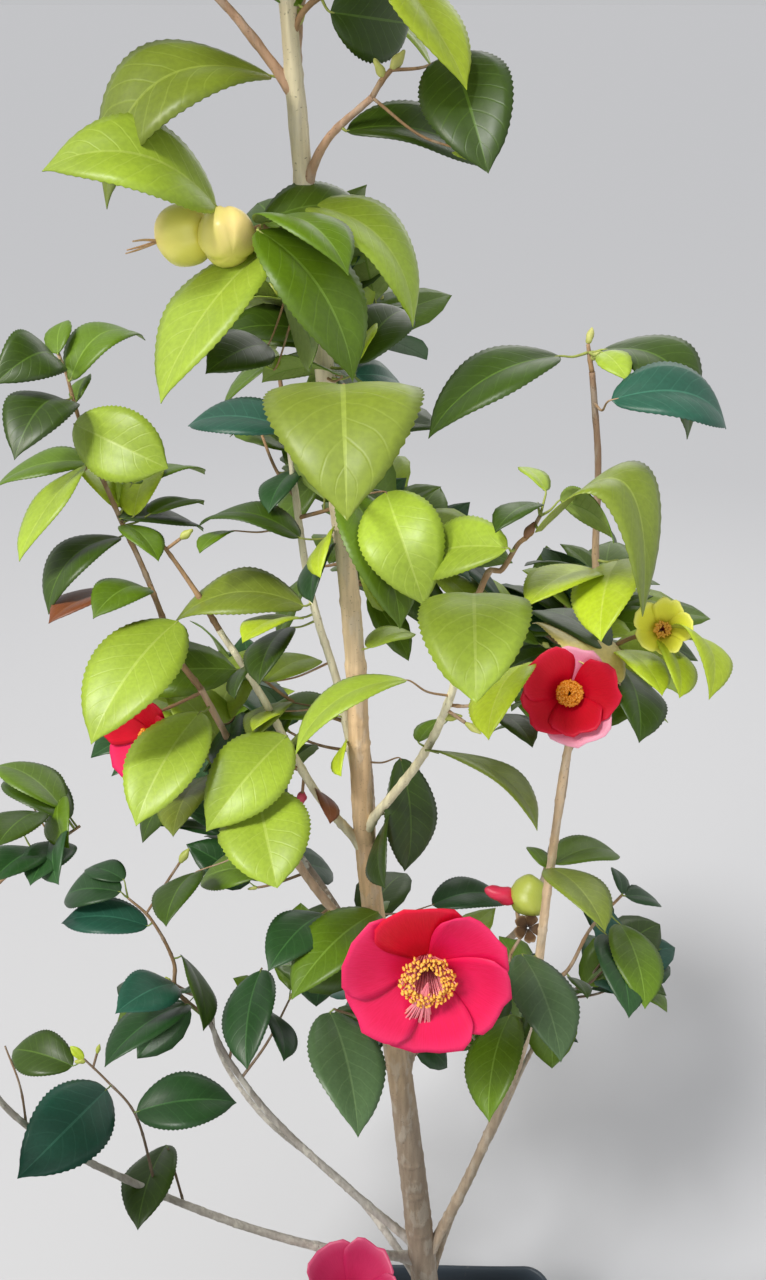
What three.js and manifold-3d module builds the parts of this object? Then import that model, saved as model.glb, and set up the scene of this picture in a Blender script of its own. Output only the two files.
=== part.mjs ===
// Camellia shrub in a soft-cornered square nursery pot.
// Millimetres, +Z up. The origin is on the ground, at the middle of the pot's flat underside.
// The leaning trunk and its boughs stay bare below; the foliage is closed, uneven masses.

import * as THREE from 'three';
import { mergeVertices } from 'three/addons/utils/BufferGeometryUtils.js';
import Module from 'manifold-3d';

const wasm = await Module();
wasm.setup();

// Driving sizes

const CLEARANCE = 0.3; // space kept between pieces that meet
const POT = { height: 280, topHalf: 135, footHalf: 112, wall: 2.6, floor: 4, corner: 28 };
const RIM = { height: 18, half: 140, round: 2 };
const CORNER_STEPS = 4;
const DRAIN = { radius: 7, offset: 78, sides: 10 };
const SOIL_TOP = 250;

// Trunk: how far it has leaned to the left at each height, and its diameter there
const TRUNK_FOOT = SOIL_TOP + CLEARANCE;
const TRUNK_TIP = 1705;
const TRUNK_LEAN = [
  [250, 0], [330, -4], [517, -18], [799, -42], [1078, -71], [1250, -77], [1520, -98], [1705, -108],
];
const TRUNK_DIAMETER = [
  [250, 29], [590, 25.5], [800, 21], [1078, 14.7], [1250, 12.4], [1520, 9.6], [1705, 4],
];
const ROOT_FLARE = { extra: 15, fade: 26 };
const TRUNK_MESH = { sides: 12, rings: 16 };

const BOUGH_MESH = { sides: 6, rings: 5 };
const STEM_MESH = { sides: 6, rings: 12 };

// Limbs that leave the trunk: height where each leaves it, the points it runs through to
// its tip, and its diameter at both ends
const LIMBS = [
  { name: 'stem_right', leaves: 545, diameter: [11, 3.4], mesh: STEM_MESH,
    through: [[21, -5, 715], [51, -15, 894], [53, -30, 1088], [54, -42, 1210], [66, -38, 1266],
      [60, -25, 1318], [57, -15, 1375], [50, -10, 1420]] },
  { name: 'stem_second', leaves: 1098, diameter: [7, 3.6],
    through: [[-87, 10, 1205], [-104, 20, 1274], [-116, 40, 1382]] },
  { name: 'bough_low_left', leaves: 556, diameter: [9, 3.4],
    through: [[-124, -10, 597], [-261, -20, 702], [-358, -32, 835], [-362, -40, 1012]] },
  { name: 'bough_left_lower', leaves: 572, diameter: [9, 4],
    through: [[-88, 0, 668], [-156, 10, 763], [-190, 15, 838], [-200, 16, 880]] },
  { name: 'bough_long_left', leaves: 958, diameter: [7.6, 4],
    through: [[-116, 10, 1047], [-152, 3, 1150], [-174, 0, 1214]] },
  { name: 'bough_mid_left', leaves: 1079, diameter: [7, 4],
    through: [[-102, -5, 1131], [-140, 2, 1216], [-160, 6, 1254]] },
  { name: 'bough_mid_right', leaves: 1098, diameter: [7, 4],
    through: [[-35, -30, 1183], [-20, -60, 1253], [-14, -78, 1312]] },
  { name: 'bough_front_flower', leaves: 992, diameter: [5.5, 3.6],
    through: [[-56, -35, 1008], [-50, -84, 1036]] },
  { name: 'bough_front_high', leaves: 1345, diameter: [5.5, 3.2],
    through: [[-80, -50, 1382], [-75, -122, 1430]] },
  { name: 'bough_top_left', leaves: 1548, diameter: [5, 3],
    through: [[-131, 0, 1585], [-172, 0, 1618]] },
  { name: 'bough_top_right', leaves: 1508, diameter: [4.6, 3],
    through: [[-85, -10, 1530], [-64, -16, 1548]] },
  { name: 'bough_crown_back', leaves: 1560, diameter: [5, 3],
    through: [[-96, 40, 1595], [-86, 84, 1632]] },
  { name: 'bough_back_centre', leaves: 1040, diameter: [7.6, 3.4],
    through: [[-70, 80, 1085], [-85, 160, 1153], [-92, 186, 1235], [-84, 192, 1372]] },
  { name: 'bough_back_left', leaves: 885, diameter: [8, 3.8],
    through: [[-92, 90, 915], [-170, 188, 957], [-205, 200, 996]] },
  { name: 'bough_back_right', leaves: 820, diameter: [8, 3.8],
    through: [[-12, 70, 850], [66, 120, 878], [100, 180, 944], [106, 196, 1050], [106, 200, 1126]] },
  { name: 'bough_back_low_left', leaves: 500, diameter: [8, 3.8],
    through: [[-86, 50, 578], [-187, 130, 590], [-232, 172, 632], [-238, 186, 712]] },
  { name: 'bough_back_low_centre', leaves: 540, diameter: [7, 3.8],
    through: [[-32, 50, 640], [-42, 110, 676], [-42, 158, 686]] },
  { name: 'bough_back_low_right', leaves: 500, diameter: [8, 3.8],
    through: [[14, 50, 560], [64, 128, 588], [98, 172, 636], [136, 184, 716]] },
  { name: 'bough_front_low', leaves: 480, diameter: [8, 3.8],
    through: [[-38, -100, 590], [-70, -216, 800]] },
  { name: 'bough_front_low_right', leaves: 500, diameter: [8, 3.8],
    through: [[60, -85, 580], [142, -172, 736]] },
  { name: 'bough_front_low_left', leaves: 495, diameter: [8, 3.8],
    through: [[-125, -80, 570], [-250, -156, 712]] },
];

// Masses of foliage, each an uneven lump: its middle and its half sizes
const MASSES = [
  { name: 'foliage_crown_tip', middle: [-108, 5, 1700], half: [70, 64, 60] },
  { name: 'foliage_crown_left', middle: [-204, 0, 1642], half: [60, 52, 46] },
  { name: 'foliage_crown_back', middle: [-80, 116, 1655], half: [62, 58, 48] },
  { name: 'foliage_top_right', middle: [-34, -22, 1562], half: [56, 46, 50] },
  { name: 'foliage_top_left', middle: [-170, -5, 1533], half: [74, 40, 42] },
  { name: 'foliage_below_fruit', middle: [-150, -40, 1462], half: [50, 40, 54] },
  { name: 'foliage_upper_centre', middle: [-84, -28, 1458], half: [58, 50, 54] },
  { name: 'foliage_front_high', middle: [-72, -152, 1440], half: [46, 50, 42] },
  { name: 'foliage_left_tip', middle: [-230, -30, 1412], half: [64, 48, 54] },
  { name: 'foliage_left_middle', middle: [-204, -16, 1338], half: [54, 46, 48] },
  { name: 'foliage_left_lower', middle: [-198, -2, 1245], half: [68, 48, 62] },
  { name: 'foliage_mid_left', middle: [-166, -26, 1126], half: [64, 38, 62] },
  { name: 'foliage_second_stem', middle: [-122, 52, 1396], half: [44, 44, 44] },
  { name: 'foliage_centre_right', middle: [-24, -98, 1345], half: [58, 44, 58] },
  { name: 'foliage_mid_right', middle: [-10, -36, 1158], half: [48, 34, 40] },
  { name: 'foliage_right_arch', middle: [52, -60, 1350], half: [46, 42, 54] },
  { name: 'foliage_right_flower', middle: [80, -42, 1242], half: [66, 44, 46] },
  { name: 'foliage_right_upper', middle: [52, -10, 1414], half: [86, 34, 34] },
  { name: 'foliage_right_low', middle: [98, -12, 985], half: [56, 40, 70] },
  { name: 'foliage_front_flower', middle: [-50, -106, 1042], half: [66, 46, 68] },
  { name: 'foliage_left_edge', middle: [-340, -42, 1062], half: [64, 38, 86] },
  { name: 'foliage_low_left_outer', middle: [-290, -44, 742], half: [76, 34, 56] },
  { name: 'foliage_low_left_inner', middle: [-204, 16, 930], half: [80, 40, 72] },
  { name: 'foliage_low_flower', middle: [-92, -32, 588], half: [46, 36, 36] },
  { name: 'foliage_back_centre', middle: [-89, 205, 1415], half: [80, 62, 74] },
  { name: 'foliage_back_middle', middle: [-53, 208, 1203], half: [78, 58, 76] },
  { name: 'foliage_back_left', middle: [-226, 222, 1022], half: [84, 66, 84] },
  { name: 'foliage_back_right', middle: [114, 222, 1165], half: [82, 66, 84] },
  { name: 'foliage_back_low_left', middle: [-247, 200, 743], half: [82, 62, 70] },
  { name: 'foliage_back_low_centre', middle: [-41, 198, 680], half: [76, 60, 66] },
  { name: 'foliage_back_low_right', middle: [164, 200, 762], half: [78, 62, 76] },
  { name: 'foliage_front_low', middle: [-78, -248, 836], half: [82, 60, 72] },
  { name: 'foliage_front_low_right', middle: [160, -204, 768], half: [70, 60, 68] },
  { name: 'foliage_front_right', middle: [230, -190, 889], half: [62, 56, 80] },
  { name: 'foliage_front_low_left', middle: [-288, -180, 744], half: [74, 58, 60] },
  { name: 'foliage_front_left', middle: [-357, -153, 856], half: [62, 52, 78] },
];
const LARGE_MASS = 79; // a mass with a half size over this has the finer mesh
const UNEVEN = 0.13; // how far a mass's skin goes in and out, as a share of its size

// Colours, roughness and metalness

function finish(colour, roughness) {
  return new THREE.MeshStandardMaterial({ color: colour, roughness, metalness: 0 });
}

const FINISHES = {
  pot: () => finish('#1b2530', 0.45),
  soil: () => finish('#3a2c20', 0.95),
  bark: () => finish('#a98e68', 0.8),
  foliage: () => finish('#6f9a2e', 0.55),
};

// Between one solid and its mesh

// A geometry with only positions, its shared vertices merged and its collapsed triangles gone
function welded(geometry) {
  const bare = geometry.clone();
  bare.deleteAttribute('normal');
  bare.deleteAttribute('uv');
  const merged = mergeVertices(bare, 1e-4);
  const corners = merged.index.array;
  const kept = [];
  for (let i = 0; i < corners.length; i += 3) {
    const [a, b, c] = corners.slice(i, i + 3);
    if (a !== b && b !== c && c !== a) kept.push(a, b, c);
  }
  merged.setIndex(kept);
  return merged;
}

function solidFrom(geometry) {
  const closed = welded(geometry);
  return new wasm.Manifold(new wasm.Mesh({
    numProp: 3,
    vertProperties: new Float32Array(closed.attributes.position.array),
    triVerts: new Uint32Array(closed.index.array),
  }));
}

function geometryFrom(solid) {
  const { vertProperties, triVerts } = solid.getMesh();
  const geometry = new THREE.BufferGeometry();
  geometry.setAttribute('position', new THREE.BufferAttribute(vertProperties, 3));
  geometry.setIndex(new THREE.BufferAttribute(triVerts, 1));
  geometry.computeVertexNormals();
  return geometry;
}

// Shapes

// A closed cylinder whose every vertex is placed by its column, its ring and whether it is
// the middle of an end
function shapedColumn(sides, rings, place) {
  const geometry = new THREE.CylinderGeometry(1, 1, 1, sides, rings);
  const positions = geometry.attributes.position;
  for (let i = 0; i < positions.count; i += 1) {
    const across = Math.hypot(positions.getX(i), positions.getZ(i));
    const turn = Math.atan2(positions.getX(i), positions.getZ(i)) / (2 * Math.PI);
    const column = (Math.round(turn * sides) + sides) % sides;
    const ring = Math.round((positions.getY(i) + 0.5) * rings);
    const point = place(column, ring, across < 0.5);
    positions.setXYZ(i, point.x, point.y, point.z);
  }
  return geometry;
}

// The value at a height in a list of [height, value] pairs
function valueAt(list, height) {
  const next = list.findIndex(([level]) => level >= height);
  if (next === 0) return list[0][1];
  if (next < 0) return list[list.length - 1][1];
  const [lowLevel, low] = list[next - 1];
  const [highLevel, high] = list[next];
  return THREE.MathUtils.mapLinear(height, lowLevel, highLevel, low, high);
}

// The outline of a square with round corners, counter-clockwise
function softSquare(half, corner) {
  const outline = new THREE.Shape();
  const flat = half - corner;
  outline.absarc(flat, flat, corner, 0, Math.PI / 2);
  outline.absarc(-flat, flat, corner, Math.PI / 2, Math.PI);
  outline.absarc(-flat, -flat, corner, Math.PI, 1.5 * Math.PI);
  outline.absarc(flat, -flat, corner, 1.5 * Math.PI, 2 * Math.PI);
  return outline.getPoints(CORNER_STEPS).slice(0, -1);
}

// A tapering block with a soft square section; levels are [height, half width] pairs
function softSquareBlock(levels, corner) {
  const outlines = levels.map(([, half]) => softSquare(half, corner));
  const sides = outlines[0].length;
  return shapedColumn(sides, levels.length - 1, (column, ring, isMiddle) => {
    const point = isMiddle ? new THREE.Vector2() : outlines[ring][column];
    return new THREE.Vector3(point.x, point.y, levels[ring][0]);
  });
}

function potWallHalf(height) {
  return THREE.MathUtils.mapLinear(height, 0, POT.height, POT.footHalf, POT.topHalf);
}

function potInsideHalf(height) {
  return potWallHalf(height) - POT.wall;
}

function trunkAxis(height) {
  return new THREE.Vector3(valueAt(TRUNK_LEAN, height), 0, height);
}

function trunkRadius(height) {
  const flare = ROOT_FLARE.extra * Math.exp(-(height - TRUNK_FOOT) / ROOT_FLARE.fade);
  return (valueAt(TRUNK_DIAMETER, height) + flare) / 2;
}

// The trunk, with level rings that lie closer together in the root flare
function trunkShape(extra) {
  const { sides, rings } = TRUNK_MESH;
  return shapedColumn(sides, rings, (column, ring, isMiddle) => {
    const share = (ring / rings) ** 1.35;
    const height = THREE.MathUtils.lerp(TRUNK_FOOT, TRUNK_TIP, share);
    const endExtra = ring === rings ? extra : 0;
    const radius = isMiddle ? 0 : trunkRadius(height) + extra;
    const angle = (2 * Math.PI * column) / sides;
    const offset = new THREE.Vector3(radius * Math.cos(angle), radius * Math.sin(angle), endExtra);
    return trunkAxis(height).add(offset);
  });
}

function limbPath(limb) {
  const start = trunkAxis(limb.leaves);
  const rest = limb.through.map((point) => new THREE.Vector3(...point));
  return new THREE.CatmullRomCurve3([start, ...rest], false, 'centripetal');
}

// One tapering limb along its path, from inside the trunk to its tip
function limbShape(limb, extra) {
  const { sides, rings } = limb.mesh ?? BOUGH_MESH;
  const path = limbPath(limb);
  const frames = path.computeFrenetFrames(rings, false);
  const [baseDiameter, tipDiameter] = limb.diameter;
  return shapedColumn(sides, rings, (column, ring, isMiddle) => {
    const share = ring / rings;
    const diameter = THREE.MathUtils.lerp(baseDiameter, tipDiameter, share ** 0.8);
    const radius = isMiddle ? 0 : diameter / 2 + extra;
    const angle = (2 * Math.PI * column) / sides;
    const point = path.getPointAt(share);
    point.addScaledVector(frames.normals[ring], radius * Math.cos(angle));
    point.addScaledVector(frames.binormals[ring], radius * Math.sin(angle));
    if (ring === rings) point.addScaledVector(frames.tangents[ring], extra);
    return point;
  });
}

// How far the skin of a mass stands in or out in a direction, different for each number
function unevenness(direction, number) {
  const { x, y, z } = direction;
  const first = Math.sin(2.9 * x + 1.7 * number) * Math.cos(2.3 * y - number);
  const second = Math.sin(3.4 * z + 2.6 * number) * Math.cos(3.1 * x + 0.6 * number);
  const third = Math.sin(5.2 * y + 3.3 * number);
  return UNEVEN * (0.9 * first + 0.8 * second + 0.35 * third);
}

function massShape(mass, number, extra) {
  const detail = Math.max(...mass.half) > LARGE_MASS ? 2 : 1;
  const geometry = new THREE.IcosahedronGeometry(1, detail);
  const positions = geometry.attributes.position;
  const half = new THREE.Vector3(...mass.half);
  const middle = new THREE.Vector3(...mass.middle);
  const direction = new THREE.Vector3();
  for (let i = 0; i < positions.count; i += 1) {
    direction.fromBufferAttribute(positions, i).normalize();
    const point = direction.clone().multiply(half);
    point.multiplyScalar(1 + unevenness(direction, number));
    point.addScaledVector(direction, extra);
    point.add(middle);
    positions.setXYZ(i, point.x, point.y, point.z);
  }
  return geometry;
}

// Pieces, in the order in which they are cut: each one gives way to those before it

const shrub = new THREE.Group();

function addPiece(name, solid, material) {
  const piece = new THREE.Mesh(geometryFrom(solid), material);
  piece.name = name;
  shrub.add(piece);
}

function potSolid() {
  const rimFoot = POT.height - RIM.height;
  const outside = [
    [0, POT.footHalf - 3],
    [3, potWallHalf(3)],
    [rimFoot, potWallHalf(rimFoot)],
    [rimFoot + RIM.round, RIM.half],
    [POT.height - RIM.round, RIM.half],
    [POT.height, RIM.half - RIM.round],
  ];
  const above = POT.height + 5;
  const inside = [[POT.floor, potInsideHalf(POT.floor)], [above, potInsideHalf(above)]];
  let pot = solidFrom(softSquareBlock(outside, POT.corner));
  pot = pot.subtract(solidFrom(softSquareBlock(inside, POT.corner - POT.wall)));
  for (const side of [-1, 1]) {
    for (const end of [-1, 1]) {
      const hole = new THREE.CylinderGeometry(DRAIN.radius, DRAIN.radius, 4 * POT.floor, DRAIN.sides);
      hole.rotateX(Math.PI / 2);
      hole.translate(side * DRAIN.offset, end * DRAIN.offset, 0);
      pot = pot.subtract(solidFrom(hole));
    }
  }
  return pot;
}

function soilSolid() {
  const bottom = POT.floor + CLEARANCE;
  const levels = [bottom, SOIL_TOP].map((height) => [height, potInsideHalf(height) - CLEARANCE]);
  return solidFrom(softSquareBlock(levels, POT.corner - POT.wall));
}

addPiece('pot', potSolid(), FINISHES.pot());
addPiece('soil', soilSolid(), FINISHES.soil());

const cutters = [];

function cutByOthers(solid) {
  return cutters.reduce((left, cutter) => left.subtract(cutter), solid);
}

addPiece('trunk', solidFrom(trunkShape(0)), FINISHES.bark());
cutters.push(solidFrom(trunkShape(1.3 * CLEARANCE)));

for (const limb of LIMBS) {
  addPiece(limb.name, cutByOthers(solidFrom(limbShape(limb, 0))), FINISHES.bark());
  cutters.push(solidFrom(limbShape(limb, 1.3 * CLEARANCE)));
}

MASSES.forEach((mass, number) => {
  addPiece(mass.name, cutByOthers(solidFrom(massShape(mass, number, 0))), FINISHES.foliage());
  cutters.push(solidFrom(massShape(mass, number, 1.6 * CLEARANCE)));
});

export default shrub;
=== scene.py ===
"""A potted camellia shrub: bark, leaves, blossom, fruit, soil and pot, built round the fixed model."""

import math
import random

import bmesh
import bpy
from mathutils import Matrix, Vector, noise


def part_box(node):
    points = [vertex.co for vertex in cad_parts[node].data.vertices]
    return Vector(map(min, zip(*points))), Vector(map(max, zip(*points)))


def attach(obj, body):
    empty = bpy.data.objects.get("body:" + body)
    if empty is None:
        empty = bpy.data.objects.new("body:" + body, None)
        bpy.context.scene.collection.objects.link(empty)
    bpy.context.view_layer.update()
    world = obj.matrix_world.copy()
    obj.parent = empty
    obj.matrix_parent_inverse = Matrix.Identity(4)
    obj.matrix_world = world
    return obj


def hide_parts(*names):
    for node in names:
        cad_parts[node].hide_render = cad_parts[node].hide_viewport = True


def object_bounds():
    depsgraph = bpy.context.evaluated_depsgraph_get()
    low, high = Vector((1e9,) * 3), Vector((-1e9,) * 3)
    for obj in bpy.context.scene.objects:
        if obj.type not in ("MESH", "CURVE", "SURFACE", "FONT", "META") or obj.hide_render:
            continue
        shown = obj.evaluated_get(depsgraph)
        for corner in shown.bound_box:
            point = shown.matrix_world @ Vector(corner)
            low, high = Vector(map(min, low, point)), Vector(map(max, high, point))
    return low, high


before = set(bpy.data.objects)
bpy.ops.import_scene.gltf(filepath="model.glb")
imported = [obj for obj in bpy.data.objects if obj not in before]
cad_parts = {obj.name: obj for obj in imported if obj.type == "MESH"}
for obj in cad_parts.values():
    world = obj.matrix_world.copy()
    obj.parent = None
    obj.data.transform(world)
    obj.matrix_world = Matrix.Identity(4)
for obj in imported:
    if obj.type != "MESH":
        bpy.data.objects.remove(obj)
CAD_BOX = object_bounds()

MM = 0.001
SEED = 1991
GOLDEN_ANGLE = math.radians(137.508)

# The camera, in the pixels of the 766 x 1280 photograph
FOCAL = 1050.0
PICTURE = (766, 1280)
MIDDLE = (383.0, 640.0)
EYE = Vector((-0.059, -0.55, 1.586))
PITCH = math.radians(31.4)
SENSOR = 36.0

# The pot and soil, in millimetres
POT_HEIGHT = 280
POT_TOP = 135
POT_FOOT = 112
POT_WALL = 2.6
POT_FLOOR = 4
POT_CORNER = 28
RIM_HEIGHT = 18
RIM_HALF = 140
DRAIN_RADIUS = 7
DRAIN_OFFSET = 78
SOIL_TOP = 250
SOIL_GAP = 0.6

# The trunk, in millimetres: its foot, then height with sideways lean, and height with diameter
TRUNK_FOOT = 247
TRUNK_LEAN = (
    (250, 0), (330, -4), (517, -18), (799, -42), (1078, -71), (1250, -77), (1520, -98), (1705, -108))
TRUNK_DIAMETER = ((250, 29), (590, 25.5), (800, 21), (1078, 14.7), (1250, 12.4), (1520, 9.6), (1705, 4))
FLARE_EXTRA = 15
FLARE_FADE = 26

# Where each limb leaves the trunk, its two diameters and the points it passes, in millimetres
LIMBS = {
    "stem_right": (545, (11, 3.4), (
        (21, -5, 715), (51, -15, 894), (53, -30, 1088), (54, -42, 1210), (66, -38, 1266),
        (60, -25, 1318), (57, -15, 1375), (50, -10, 1420))),
    "stem_second": (1098, (7, 3.6), ((-87, 10, 1205), (-104, 20, 1274), (-116, 40, 1382))),
    "bough_low_left": (556, (9, 3.4), (
        (-124, -10, 597), (-261, -20, 702), (-358, -32, 835), (-362, -40, 1012))),
    "bough_left_lower": (572, (9, 4), (
        (-88, 0, 668), (-156, 10, 763), (-190, 15, 838), (-200, 16, 880))),
    "bough_long_left": (958, (7.6, 4), ((-116, 10, 1047), (-152, 3, 1150), (-174, 0, 1214))),
    "bough_mid_left": (1079, (7, 4), ((-102, -5, 1131), (-140, 2, 1216), (-160, 6, 1254))),
    "bough_mid_right": (1098, (7, 4), ((-35, -30, 1183), (-20, -60, 1253), (-14, -78, 1312))),
    "bough_front_flower": (992, (5.5, 3.6), ((-56, -35, 1008), (-50, -84, 1036))),
    "bough_front_high": (1345, (5.5, 3.2), ((-80, -50, 1382), (-75, -122, 1430))),
    "bough_top_left": (1548, (5, 3), ((-131, 0, 1585), (-172, 0, 1618))),
    "bough_top_right": (1508, (4.6, 3), ((-85, -10, 1530), (-64, -16, 1548))),
    "bough_crown_back": (1560, (5, 3), ((-96, 40, 1595), (-86, 84, 1632))),
    "bough_back_centre": (1040, (7.6, 3.4), (
        (-70, 80, 1085), (-85, 160, 1153), (-92, 186, 1235), (-84, 192, 1372))),
    "bough_back_left": (885, (8, 3.8), ((-92, 90, 915), (-170, 188, 957), (-205, 200, 996))),
    "bough_back_right": (820, (8, 3.8), (
        (-12, 70, 850), (66, 120, 878), (100, 180, 944), (106, 196, 1050), (106, 200, 1126))),
    "bough_back_low_left": (500, (8, 3.8), (
        (-86, 50, 578), (-187, 130, 590), (-232, 172, 632), (-238, 186, 712))),
    "bough_back_low_centre": (540, (7, 3.8), ((-32, 50, 640), (-42, 110, 676), (-42, 158, 686))),
    "bough_back_low_right": (500, (8, 3.8), (
        (14, 50, 560), (64, 128, 588), (98, 172, 636), (136, 184, 716))),
    "bough_front_low": (480, (8, 3.8), ((-38, -100, 590), (-70, -216, 800))),
    "bough_front_low_right": (500, (8, 3.8), ((60, -85, 580), (142, -172, 736))),
    "bough_front_low_left": (495, (8, 3.8), ((-125, -80, 570), (-250, -156, 712))),
}

# Thinner shoots: the limb each grows from, its two diameters in millimetres, and its way as
# picture points with how far each comes towards the camera from the limb, in millimetres
SHOOTS = {
    "crown_shoot": ("trunk", (3.2, 2.2), ((290, 40, 0), (303, 12, 8), (352, -24, 20), (405, -42, 26))),
    "top_right_tip": ("bough_top_right", (2.8, 2.2), ((372, 97, 0), (381, 82, 3), (391, 70, 5))),
    "fruit_spur": ("trunk", (3.4, 2.4), (
        (306, 240, 0), (284, 233, 14), (262, 227, 22), (243, 232, 26), (220, 219, 30))),
    "front_high_tip": ("bough_front_high", (3.0, 2.2), ((345, 428, 0), (345, 405, 22), (344, 386, 42))),
    "long_left_low": ("bough_long_left", (4.0, 3.2), (
        (201, 689, 0), (176, 655, 4), (162, 616, 6), (143, 568, 8), (119, 516, 12))),
    "long_left_tip": ("long_left_low", (3.2, 2.0), (
        (119, 516, 0), (90, 449, 6), (79, 419, 8), (70, 387, 9), (66, 373, 9), (58, 353, 10))),
    "long_left_side": ("bough_long_left", (2.4, 1.8), ((203, 690, 0), (168, 708, -6), (132, 722, -12))),
    "mid_left_tip": ("bough_mid_left", (4.0, 2.2), (
        (219, 630, 0), (198, 595, 4), (171, 556, 8), (157, 538, 10))),
    "mid_right_tip": ("bough_mid_right", (3.8, 2.0), (
        (470, 617, 0), (479, 593, 4), (491, 570, 6), (500, 571, 8), (519, 543, 10), (528, 536, 11),
        (540, 516, 14))),
    "mid_right_side": ("bough_mid_right", (2.2, 1.6), (
        (443, 704, 0), (468, 706, 4), (497, 697, 8), (519, 670, 12))),
    "left_lower_tip": ("bough_left_lower", (4.0, 2.0), (
        (207, 1018, 0), (176, 989, 3), (174, 963, 4), (150, 918, 6), (128, 898, 8))),
    "left_lower_side": ("bough_left_lower", (2.4, 1.6), (
        (223, 1064, 0), (233, 1040, 8), (240, 1004, 14), (262, 968, 20))),
    "second_tip": ("stem_second", (3.2, 2.0), ((285, 411, 0), (280, 380, 4), (276, 352, 8))),
    "right_tip": ("stem_right", (2.8, 2.0), ((592, 372, 0), (590, 360, 2), (588, 344, 4))),
    "right_bud": ("stem_right", (3.0, 2.4), ((603, 655, 0), (624, 641, 4), (644, 634, 8))),
    "right_low": ("stem_right", (3.2, 2.0), (
        (532, 985, 0), (564, 974, 4), (591, 928, 8), (622, 895, 10))),
    "bud_stalk": ("stem_right", (3.0, 2.4), ((530, 982, 0), (510, 960, 8), (520, 938, 12))),
    "low_centre": ("trunk", (2.6, 1.8), (
        (395, 1090, 0), (378, 1056, 28), (360, 1020, 60), (334, 1009, 84))),
    "low_left_side": ("bough_low_left", (2.6, 1.8), (
        (158, 1194, 0), (134, 1112, 6), (106, 1080, 10), (84, 1059, 12))),
    "low_left_back": ("bough_low_left", (2.4, 1.8), (
        (184, 1206, 0), (176, 1176, -12), (168, 1148, -14))),
    "low_left_stub": ("bough_low_left", (2.0, 1.4), ((32, 1119, 0), (20, 1086, 4), (5, 1046, 6))),
    "low_left_tip": ("bough_low_left", (3.4, 2.0), (
        (-50, 961, 0), (-18, 900, 4), (30, 858, 6), (62, 838, 6), (80, 826, 6))),
    "low_flower_spur": ("bough_low_left", (3.2, 2.8), ((364, 1248, 0), (352, 1256, 22))),
}

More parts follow.
